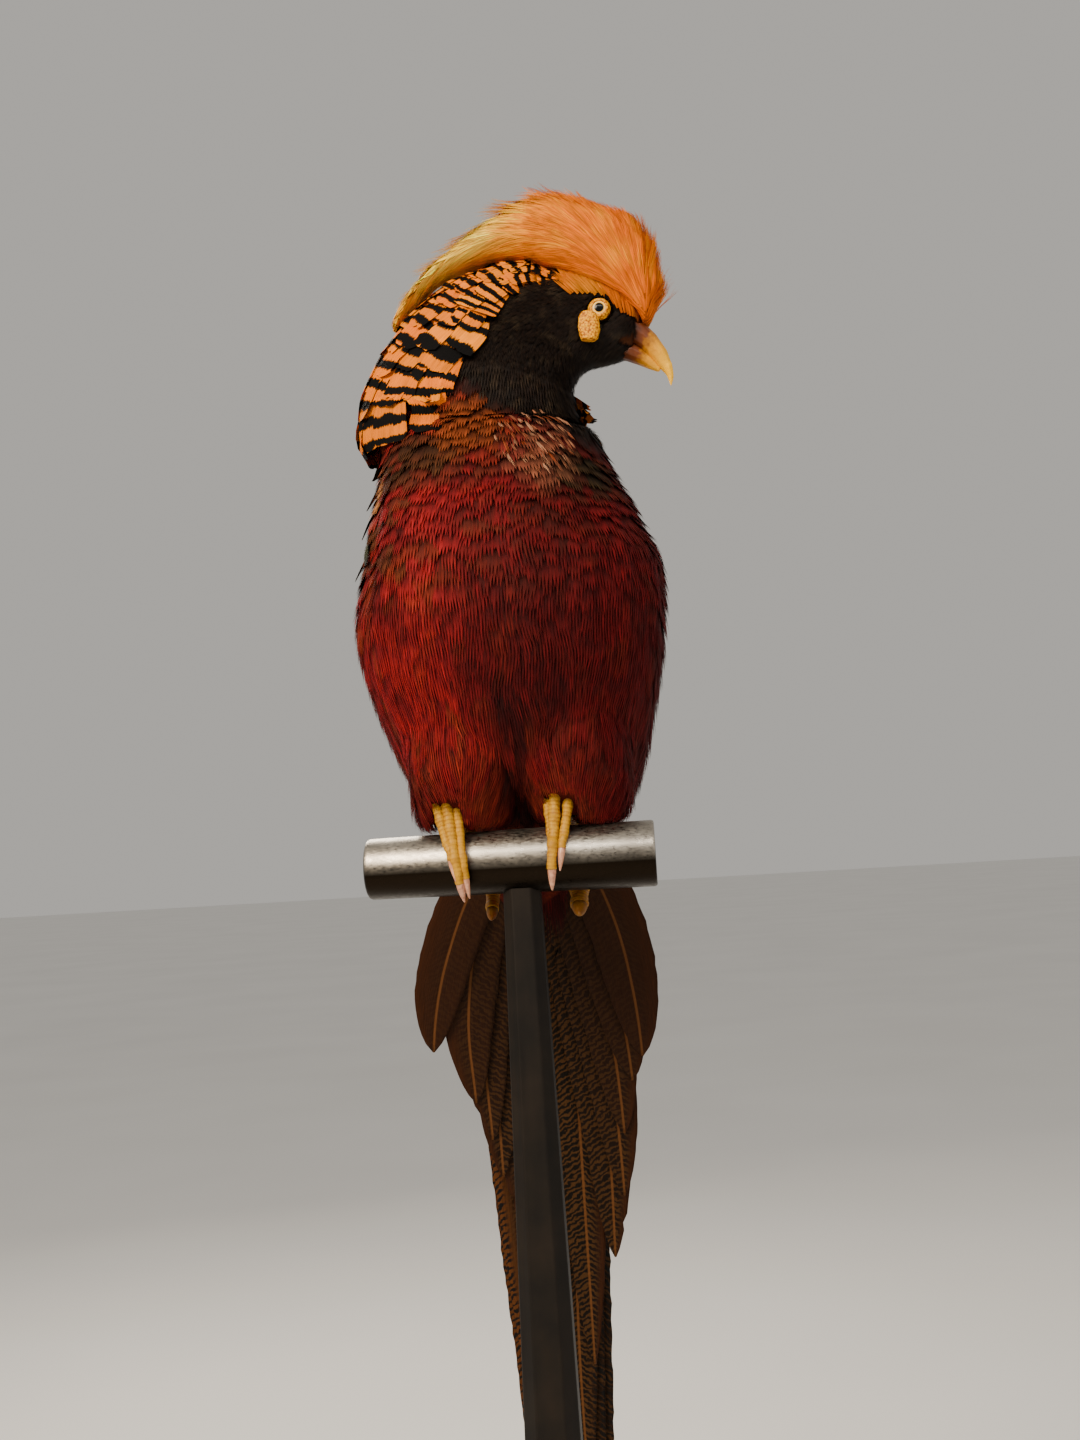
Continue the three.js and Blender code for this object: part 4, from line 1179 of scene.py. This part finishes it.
rng = np.random.default_rng(82)
brow = scatter(body_bed, 1.6, lambda points: (points[:, 2] > 240) & (points[:, 0] > -5), 84)
brow = brow[np.linalg.norm(settle(crest_bed, brow)[0] - brow, axis=1) < 3.2]
roots = np.concatenate([scatter(crest_bed, 1.35, lambda points: points[:, 2] > 0, 81), brow])
x = roots[:, 0]
clump = blotch(roots * (1, 0.5, 0.4), 6.5, 8)
ridge = smooth(below_rim(roots), 24, 8) * smooth(x, -30, 0)
length = np.interp(x, [-42, -10, 30, 85], [15, 24, 26, 19]) * rng.uniform(0.75, 1.15, len(roots))
length *= 1 + 0.45 * clump * ridge
free = rng.uniform(0.0, 0.16, len(roots)) + ridge * (0.3 + 0.6 * np.clip(clump, 0, 1))
path, normals = lie(crest_bed, roots, over_the_crown, length, 6, np.clip(free, 0, 0.6))
path[:, 0] = roots
toss = (3.0 * smooth(x, 20, 34) + 19.0 * np.clip(clump, 0, 0.45) ** 1.1) * ridge
path += normals[:, :1] * toss[:, None, None] * (np.linspace(0, 1, 7) ** 2)[None, :, None]
edge_roots = scatter(body_bed, 1.1, lambda points: ~under_the_brow(points) & (points[:, 0] > 44), 85)
edge_lengths = rng.uniform(7, 12, len(edge_roots))
crest_finish = feather_finish("crest_silk", 0.6, 2.2, 0.34, Specular_IOR_Level=0.06)
feather_piece("crest_plumes", [vanes(
    path, normals, 1.15, crest_colour(roots), 83, rise=(0.1, 1.8), root_shade=0.88, shade_span=(0.0, 0.5),
    **SILK,
), vanes(
    *lie(body_bed, edge_roots, over_the_crown, edge_lengths, 6), 0.8, crest_colour(edge_roots) * 0.75, 86,
    rise=(0.6, 3.0), root_shade=0.6, **SILK,
)], crest_finish, ["crest"])

# ---------------------------------------------------------------- tail
# Nine pairs of long stiff quills, laid over each other like a closed fan with the middle pair at
# the back. The outer pairs are plain cinnamon, the inner ones dark with fine buff lines.
TAIL_LEAN = math.radians(12)
TAIL_ROOT = np.array((2, 58, 36))
TAIL_DOWN = np.array((-0.009, math.sin(TAIL_LEAN), -math.cos(TAIL_LEAN)))
TAIL_OUT = np.array((0, math.cos(TAIL_LEAN), math.sin(TAIL_LEAN)))
TAIL_BOW = 9
TAIL_LENGTH = 695
TAIL_LAYER = 1.15
TAIL_PAIRS = [  # length on the right and left, half width, fullness, run out to the right and left
    (690, 695, 20, 1.25, (8, 14, 9.5, 6, 2), (8, 11, 9.5, 6, 2)),
    (560, 545, 19, 1.4, (8, 15, 12.5, 8, 4), (8, 13, 8.5, 8, 4)),
    (420, 410, 17, 1.8, (8, 15, 16, 13, 9), (8, 15, 13, 9, 9)),
    (320, 325, 16, 2.2, (8, 16, 14, 7.5, 3.5), (8, 16, 17, 17, 17)),
    (245, 262, 16, 3.0, (8, 18, 20, 17, 15), (8, 18, 25, 32, 32)),
    (212, 226, 16, 3.0, (8, 18, 24, 25, 25), (8, 19, 28.5, 36.5, 39)),
    (190, 190, 16, 3.0, (8, 19, 27, 30, 29), (8, 21, 31, 38, 41)),
    (168, 160, 16, 3.4, (8, 20, 31, 37, 36), (8, 24, 36, 43, 47)),
    (138, 146, 16, 3.6, (8, 22, 38, 50, 56), (8, 29, 43, 50, 53)),
]
TAIL_DARKNESS = (1.0, 1.0, 1.0, 1.0, 0.9, 0.8, 0.6, 0.4, 0.2)


def on_tail(below, out, aside):
    """Places counted from the root of the tail: down along it, out behind it and to the left."""
    return (
        TAIL_ROOT + np.multiply.outer(below, TAIL_DOWN) + np.multiply.outer(out, TAIL_OUT)
        + np.multiply.outer(aside, (1, 0, 0))
    )


def faced(shape, way):
    """Turns the faces of a sheet to look forwards, where way is -1, or backwards, where it is 1."""
    bmesh.ops.recalc_face_normals(shape, faces=shape.faces)
    if sum(face.normal.y for face in shape.faces) * way < 0:
        bmesh.ops.reverse_faces(shape, faces=shape.faces)


tail_finish = feather_finish("tail_quills", 0.6, 1.6, 0.35, Specular_IOR_Level=0.1)
tree = tail_finish.node_tree
aside, down = on_vane(tree)
from_shaft = maths(tree, "ABSOLUTE", aside)
slanted = maths(tree, "MULTIPLY_ADD", from_shaft, -0.55, down)
wavy = maths(tree, "MULTIPLY_ADD", vane_clouds(tree, aside, down, 70.0, 0.30), 6.5, slanted)
lines = banded(tree, maths(tree, "DIVIDE", wavy, 3.4), 0.42, 0.56, 0.88)
over(tree, maths(tree, "MULTIPLY", lines, painted(tree, "Lined")), paint(60, 37, 14))
over(tree, ranged(tree, from_shaft, 0.45, 0.9, 0.75, 0.0), paint(96, 58, 26))
notches = banded(tree, maths(tree, "DIVIDE", wavy, 4.2), 0.5, 0.6, 0.95)
over(tree, maths(tree, "MULTIPLY", notches, painted(tree, "Notched")), BLACK)

rng = np.random.default_rng(91)
for pair, (right_length, left_length, half_width, fullness, *runs) in enumerate(TAIL_PAIRS):
    for side, name, length, run in zip((-1, 1), ("right", "left"), (right_length, left_length), runs):
        # The blade is a grid, drawn to the outline of the feather.
        rows = int(length / 5)
        blade = bmesh.new()
        bmesh.ops.create_grid(blade, x_segments=12, y_segments=rows, size=1)
        where = np.array([vert.co for vert in blade.verts])
        across = np.sign(where[:, 0]) * np.abs(where[:, 0]) ** 1.25
        share = (where[:, 1] + 1) / 2
        rise = np.sin(0.5 * math.pi * np.minimum(1, 0.2 + share / 0.3))
        taper = (1 - np.maximum(0, (share - 0.25) / 0.75) ** fullness) ** 0.7
        row_number = np.round(share * rows).astype(int)
        rim = np.abs(across) > 0.9
        notch = 1 - 0.05 * rng.random(rows + 1)[row_number] * rim
        torn = (rng.random(rows + 1) < 0.05)[row_number] * rim * (np.sign(across) == rng.choice((-1, 1)))
        width = np.maximum(0.5, half_width * rise * taper) * notch * (1 - 0.22 * torn)
        spots, lengths = across * width, share * length

        swept = np.minimum(share + 0.35 * np.abs(across) * width / length * (1 - share), 1)
        depth = ((side > 0) + 2 * (len(TAIL_PAIRS) - 1 - pair)) * TAIL_LAYER
        bow = TAIL_BOW * np.sin(math.pi * length * swept / TAIL_LENGTH)
        middle = on_tail(length * swept, depth + bow, side * curve(run, swept))
        ridge = 0.35 * np.exp(-(spots / 0.9) ** 2) - 0.045 * (across ** 2) * width / 2
        places = middle + np.multiply.outer(spots, (1, 0, 0)) + np.multiply.outer(ridge, TAIL_OUT)
        for vert, place in zip(blade.verts, metres(places).tolist()):
            vert.co = place
        marks = blade.loops.layers.uv.new("Vane")
        flat = blade.loops.layers.uv.new("Flat")
        blade.verts.index_update()
        for quad in blade.faces:
            for corner in quad.loops:
                spot_here, length_here = spots[corner.vert.index], lengths[corner.vert.index]
                corner[marks].uv = (spot_here, length_here)
                corner[flat].uv = (0.5 + spot_here / 90, length_here / 720)
        faced(blade, -1)

        darkness = TAIL_DARKNESS[pair]
        outer_edge = smooth(side * across, 0.2, 0.9)
        plain = 1.0 if pair > 2 or side < 0 else 0.15
        dark = mix(paint(46, 20, 3), paint(11, 6, 2), darkness)
        colour = mix(dark, paint(84, 46, 14) if pair < 3 else paint(50, 22, 3), outer_edge * plain)
        colour = colour * (1 - 0.35 * (1 - smooth(lengths, 10, 60)))[:, None]
        label = f"{pair + 1}_{name}"
        piece = finished(f"tail_feather_{label}", blade, tail_finish, [f"tail_{label}"])
        mark(piece.data, "Marking", colour)
        mark(piece.data, "Chance", np.full(len(share), rng.random()))
        mark(piece.data, "Lined", darkness * (1 - plain * outer_edge))
        mark(piece.data, "Notched", smooth(side * across, 0.66, 0.80) * (pair < 3))
        thick = piece.modifiers.new("Thickness", "SOLIDIFY")
        thick.thickness = 0.0009
        thick.offset = 0

# ---------------------------------------------------------------- tail coverts and vent
# Over the root of the tail lie long narrow scarlet feathers and shorter buff-lined ones. Under it
# hang the loose dark red feathers of the vent.
SCARLET = paint(196, 34, 8)
WHOLE = {"strips": 6, "fray": 0, "ragged": 0.01, "streak": 0.06, "root_shade": 0.6}


def hanging_row(aside, top, length, half_width, colour, seed, out, **shape):
    """Feathers that hang along the tail, each from a place aside from its root and below it."""
    below = top[:, None] + length[:, None] * np.linspace(0, 1, 7)
    bow = TAIL_BOW * np.sin(math.pi * np.clip(below, 0, 690) / TAIL_LENGTH)
    path = on_tail(below, bow + out, aside[:, None] * (1 + 0.9 * np.clip(below, 0, 150) / 150))
    normals = np.broadcast_to(TAIL_OUT * (1 if out > 0 else -1), path.shape)
    return vanes(path, normals, half_width, colour, seed, **shape)


rng = np.random.default_rng(95)
places = np.linspace(-1, 1, 15)
outward = np.abs(places)
feather_piece("scarlet_coverts", [hanging_row(
    19 * places, 6 + 8 * outward, 96 + 60 * outward + rng.normal(size=15) * 10, 4.2,
    mix(SCARLET, CRIMSON, rng.random(15)), 96, 22.5, rows=8, rise=(0.2, 1.5), rounding=0.6, camber=0.3,
    **WHOLE,
)], coat_finish)
places = np.linspace(-1, 1, 9)
feather_piece("buff_coverts", [hanging_row(
    places * 22, -14 + 10 * np.abs(places), rng.uniform(78, 110, 9), 9.0,
    mix(CINNAMON, CHESTNUT, rng.random(9)), 97, 24.5, rows=7, rise=(0.4, 1.8), rounding=0.5, camber=0.12,
    **WHOLE,
)], covert_finish)
feather_piece("vent_feathers", [hanging_row(
    rng.uniform(-8, 13, 70), rng.uniform(2, 34, 70), rng.uniform(34, 52, 70), 4.6,
    mix(0.6 * np.array(DEEP_RED), FACE_BROWN, 0.6 * rng.random(70)), 98, -2.5, strips=7, rows=3,
    rise=(0.2, 4.0), rounding=0.4, ragged=0.1, fray=0.6, streak=0.16, root_shade=0.4,
)], coat_finish)

# ---------------------------------------------------------------- eyes, lids and wattles
# The eyes are glass, with a pale yellow iris and a clear polished front. Each is set in a ring of
# small bare yellow lids, above a granular yellow wattle on the cheek.
EYE_RADIUS = 6.0
EYE_DEPTH = 10.4
PUPIL_RADIUS = 2.2
IRIS_SPAN = 5
LID_SIDES = 40
LID_RINGS = [  # radius of each, and how far it stands out from the middle of the eye
    (3.30, 5.10), (3.36, 5.45), (3.6, 5.75), (4.0, 5.70), (4.4, 5.25), (4.8, 4.5), (5.3, 3.2),
]


def pebbles(tree, scale):
    """Small round grains: how far each place lies from the middle of its own grain."""
    grains = node(tree, "ShaderNodeTexVoronoi", {"Vector": object_place(tree), "Scale": scale})
    return grains.outputs["Distance"]


eye_x, _, eye_z = metres(EYE_MIDDLE)
eye_glass, tree = new_finish("eye_glass", 0.18, Specular_IOR_Level=0.2)
centred = stretched(tree, object_place(tree), (1, 1, 1), Location=(-eye_x, 0, -eye_z))
parts = node(tree, "ShaderNodeSeparateXYZ", {"Vector": centred}).outputs
flattened = node(tree, "ShaderNodeCombineXYZ", {"X": parts["X"], "Z": parts["Z"]}).outputs["Vector"]
from_axis = node(tree, "ShaderNodeVectorMath", {0: flattened}, operation="LENGTH").outputs["Value"]
wobble = maths(tree, "MULTIPLY_ADD", clouds(tree, centred, 900.0), 0.0003, from_axis)
feed(tree, Base_Color=ramp(tree, maths(tree, "MULTIPLY", wobble, 1000 / IRIS_SPAN), [
    (0.0, (0.002, 0.002, 0.002)), (PUPIL_RADIUS / IRIS_SPAN + 0.010, (0.002, 0.002, 0.002)),
    (PUPIL_RADIUS / IRIS_SPAN + 0.05, paint(226, 170, 70)), (0.58, paint(250, 214, 124)),
    (0.66, paint(222, 160, 72)), (0.70, paint(70, 40, 16)), (0.8, paint(30, 16, 8)),
]))

lid_finish, tree = new_finish("bare_yellow_skin", 0.5, Subsurface_Weight=0.1, Specular_IOR_Level=0.15)
grains = pebbles(tree, 950.0)
feed(tree, Normal=relief(tree, grains, 0.7, 0.0004, invert=True), Base_Color=ramp(tree, grains, [
    (0.1, paint(244, 178, 0)), (0.45, paint(226, 144, 0)), (0.8, paint(140, 72, 0)),
]))

for name, side in (("right", -1), ("left", 1)):
    middle = EYE_MIDDLE + (0, side * EYE_DEPTH, 0)
    ball = bmesh.new()
    bmesh.ops.create_uvsphere(ball, u_segments=48, v_segments=32, radius=EYE_RADIUS * 0.001)
    bmesh.ops.rotate(ball, verts=ball.verts, matrix=Matrix.Rotation(math.radians(90), 3, "X"))
    bmesh.ops.translate(ball, verts=ball.verts, vec=metres(middle))
    finished(f"glass_eye_{name}", ball, eye_glass, [f"eye_{name}"])

    lids = bmesh.new()
    for band, (radius, stand) in enumerate(LID_RINGS):
        ring = bmesh.ops.create_circle(lids, segments=LID_SIDES, radius=radius * 0.001)["verts"]
        bmesh.ops.transform(lids, verts=ring, matrix=Matrix.Rotation(math.radians(90), 4, "X"))
        bmesh.ops.scale(lids, verts=ring, vec=(1.0, 1.0, 0.93 if band < 3 else 1.0))
        bmesh.ops.translate(lids, verts=ring, vec=metres(middle + (0, side * stand, 0)))
    loops = lids.edges[:]
    for start in range(0, (len(LID_RINGS) - 1) * LID_SIDES, LID_SIDES):
        bmesh.ops.bridge_loops(lids, edges=loops[start:start + 2 * LID_SIDES])
    faced(lids, side)
    eyelids = finished(f"eyelids_{name}", lids, lid_finish, [])
    fullness = eyelids.modifiers.new("Fullness", "SUBSURF")
    fullness.levels = 1
    fullness.render_levels = 1

    wattle_shape = clothed(f"wattle_skin_{name}", [f"wattle_{name}"], 0.0005, 0.0005, 40)
    for vert in wattle_shape.verts:
        vert.co += vert.normal * (noise.noise(vert.co * 700) * 0.00035)
    finished(f"cheek_wattle_{name}", wattle_shape, lid_finish, [f"wattle_{name}"])

# ---------------------------------------------------------------- bill
# The bill is horn: reddish brown round the nostril and the gape, clear yellow to the hooked tip.
# It points forwards and down, and its layers run the same way.
BILL_WAY = (0.883, 0, -0.469)

horn, tree = new_finish("bill_horn", 0.42, Specular_IOR_Level=0.3)
place = object_place(tree)
parts = node(tree, "ShaderNodeSeparateXYZ", {"Vector": place}).outputs
forward_part = maths(tree, "MULTIPLY", parts["X"], BILL_WAY[0])
along_bill = maths(tree, "MULTIPLY_ADD", parts["Z"], BILL_WAY[2], forward_part)
shifted = maths(tree, "MULTIPLY_ADD", clouds(tree, place, 420.0, 4.0), 0.008, along_bill)
eye_along = eye_x * BILL_WAY[0] + eye_z * BILL_WAY[2]
from_eye = ranged(tree, shifted, eye_along + 0.019, eye_along + 0.046)
layers = stretched(tree, place, (300, 900, 900), Rotation=(0, math.radians(28), 0))
feed(tree, Normal=relief(tree, clouds(tree, layers, 1.0, 3.0), 0.15, 0.0003))
feed(tree, Base_Color=ramp(tree, from_eye, [
    (0.0, paint(44, 18, 8)), (0.32, paint(98, 46, 14)), (0.56, paint(204, 138, 4)),
    (1.0, paint(246, 184, 0)),
]))

forward = Vector(BILL_WAY)
for name in ("bill_upper", "bill_lower"):
    bill_shape = clothed(f"{name}_horn", [name], 0.0001, 0.0005, 8)
    reach = max(vert.co.dot(forward) for vert in bill_shape.verts)
    for vert in bill_shape.verts:
        vert.co += forward * (vert.co.dot(forward) - reach) * 0.13
    finished(f"{name}_horn", bill_shape, horn, [name])

# ---------------------------------------------------------------- feet
# Bare scaly yellow feet grip the bar: three toes over its front and the hind toe behind and under
# it. Each toe is ringed by horny scales and swells at its joints, and ends in a curved claw.
TOE_CLEARANCE = 0.6
BAR_RADIUS = 15.4
SCALE_STEP = 1.9
RING_STEP = 0.42
FEET = {  # where each foot stands; the top, end, knuckle height, reach round the bar and radius of its toes
    "right": (-27, [
        ("inner", -22.6, -19.4, 29, 110, 2.7), ("middle", -27.7, -22.2, 34.5, 116, 3.3),
        ("outer", -32.2, -25.4, 30, 84, 2.8), ("hind", -24, -11.5, 0, 0, 3.4),
    ]),
    "left": (26, [
        ("inner", 19.4, 20.6, 27, 72, 2.5), ("middle", 23.6, 20.2, 36.5, 103, 3.4),
        ("outer", 30.2, 25.2, 33, 76, 2.9), ("hind", 27, 30, 0, 0, 4.6),
    ]),
}


def toe_line(kind, top, end, knuckle, reach, radius):
    """The middle line of a toe, from the foot to the root of its claw."""
    if kind == "hind":
        return [
            (top, 5, 23), (top, 14, 18), ((top + end) / 2, 20, 8), (end, 21.5, -5), (end, 19, -16),
            (end, 13, -22.5),
        ]
    ring = BAR_RADIUS + radius + TOE_CLEARANCE
    points = [(top, 6, knuckle - 6), (top, -4, knuckle - 0.5), (top, -11, knuckle - 1.5)]
    lowest = ring * math.cos(math.radians(reach - 6))
    for share in (0, 0.35, 0.7, 1):
        angle = math.radians(52 + (reach - 52) * share)
        height = ring * math.cos(angle)
        along = min(1.0, (knuckle - 6 - height) / (knuckle - 6 - lowest))
        points.append((top + (end - top) * along, -ring * math.sin(angle), height))
    return points


def limb(shape, line, radii, sides=16):
    """A round limb through a line of places in millimetres, with a radius at each."""
    edges_before = len(shape.edges)
    rings = []
    for place, ahead, radius in zip(line, unit(np.gradient(line, axis=0)), radii):
        ring = bmesh.ops.create_circle(shape, segments=sides, radius=radius * 0.001)["verts"]
        from_bar = np.array((0, place[1], place[2]))
        out = unit(from_bar - ahead * np.dot(ahead, from_bar))
        frame_of_ring = Matrix((np.cross(ahead, out), out, ahead)).transposed().to_4x4()
        frame_of_ring.translation = metres(place)
        bmesh.ops.transform(shape, verts=ring, matrix=frame_of_ring)
        rings.append(ring)
    shape.edges.ensure_lookup_table()
    made = shape.edges[edges_before:]
    loops = [made[k * sides:(k + 1) * sides] for k in range(len(rings))]
    for first, second in zip(loops, loops[1:]):
        bmesh.ops.bridge_loops(shape, edges=first + second)
    for ring in (rings[0], rings[-1]):
        bmesh.ops.contextual_create(shape, geom=ring)
    return rings


toe_finish, tree = new_finish("toe_scales", 0.5, Specular_IOR_Level=0.25, Subsurface_Weight=0.05)
dirt = clouds(tree, object_place(tree), 260.0, 4.0)
# Dirt noise plus the mark of grime and painted shade.
soiled_and_shaded = maths(tree, "MULTIPLY_ADD", dirt, 0.5, painted(tree, "GrimeAndShade"))
feed(tree, Normal=relief(tree, pebbles(tree, 1100.0), 0.4, 0.0003, invert=True))
feed(tree, Base_Color=ramp(tree, soiled_and_shaded, [
    (0.18, paint(190, 138, 22)), (0.45, paint(148, 98, 12)), (0.85, paint(78, 42, 6)),
]))
claw_finish, tree = new_finish("claw_horn", 0.4, Coat_Weight=0.15)
feed(tree, Base_Color=ramp(tree, clouds(tree, object_place(tree), 500.0, 3.0), [
    (0.3, paint(160, 102, 76)), (0.7, paint(212, 156, 124)),
]))

for name, (foot_x, toes) in FEET.items():
    foot_shape = bmesh.new()
    shank = [(foot_x, 0, 25), (foot_x, 10, 27), (foot_x, 22, 45), (foot_x, 34, 66)]
    limb(foot_shape, curve(shank, np.linspace(0, 1, 30)), np.full(30, 3.6))
    grime_and_shade = [0.2] * len(foot_shape.verts)
    for kind, *sizes in toes:
        hind = kind == "hind"
        rough_line = curve(toe_line(kind, *sizes), np.linspace(0, 1, 400))
        run_length = np.concatenate([[0], np.cumsum(np.linalg.norm(np.diff(rough_line, axis=0), axis=1))])
        even = np.linspace(0, run_length[-1], int(run_length[-1] / RING_STEP))
        line = np.stack([np.interp(even, run_length, rough_line[:, k]) for k in range(3)], 1)
        share = even / run_length[-1]
        joints = sum(np.exp(-((share - at) / 0.035) ** 2) for at in (0.30, 0.58, 0.82))
        thickness = sizes[-1] * (1 - (0 if hind else 0.30) * share)
        rings = limb(foot_shape, line, thickness * (0.93 + 0.15 * joints))
        # Each scale rises from its root to its edge, on the side that faces away from the bar.
        for ring, bite, thick in zip(rings, (even / SCALE_STEP) % 1, thickness):
            middle = sum((vert.co for vert in ring), Vector()) / len(ring)
            out = Vector((0, middle.y, middle.z - BAR_HEIGHT)).normalized()
            for vert in ring:
                way = (vert.co - middle).normalized()
                facing = max(0.0, way.dot(out))
                rough = 0.035 * (bite - 0.4) * facing ** 0.5 + 0.14 * noise.noise(vert.co * 460)
                vert.co += way * 0.001 * thick * rough
                # Grime darkens the root of each scale, and painted shade darkens the side of the toe that
                # faces the bar.
                grime_and_shade.append(float(max(0.0, 0.10 * (1 - bite * 3) + 0.25 * (1 - facing))))

        reach = 8 if hind else 10
        tip, ahead = line[-1], unit(line[-1] - line[-12])
        inward = np.array((tip[0], 0, 0)) - tip
        inward = unit(inward - ahead * np.dot(inward, ahead))
        share = np.linspace(-0.25, 1, 24)
        hooked = np.multiply.outer(0.2 * reach * share * np.abs(share), inward)
        claw_radii = [*(thickness[-1] * np.array([0.84, 0.82, 0.58, 0.28])), 0.3]
        claw = bmesh.new()
        limb(
            claw, tip + np.multiply.outer(share * reach, ahead) + hooked,
            np.interp(share, [-0.25, 0.2, 0.6, 0.9, 1.0], claw_radii), sides=14,
        )
        bmesh.ops.recalc_face_normals(claw, faces=claw.faces)
        horny = toe_finish if hind else claw_finish
        claw_horn = finished(f"claw_horn_{name}_{kind}", claw, horny, [f"claw_{name}_{kind}"])
        # Painted shade: the hind claws, whose toe finish reads this mark, are darkened evenly.
        mark(claw_horn.data, "GrimeAndShade", np.full(len(claw_horn.data.vertices), 0.45))
    bmesh.ops.recalc_face_normals(foot_shape, faces=foot_shape.faces)
    foot = finished(f"toes_{name}", foot_shape, toe_finish, [f"foot_{name}"])
    mark(foot.data, "GrimeAndShade", grime_and_shade)
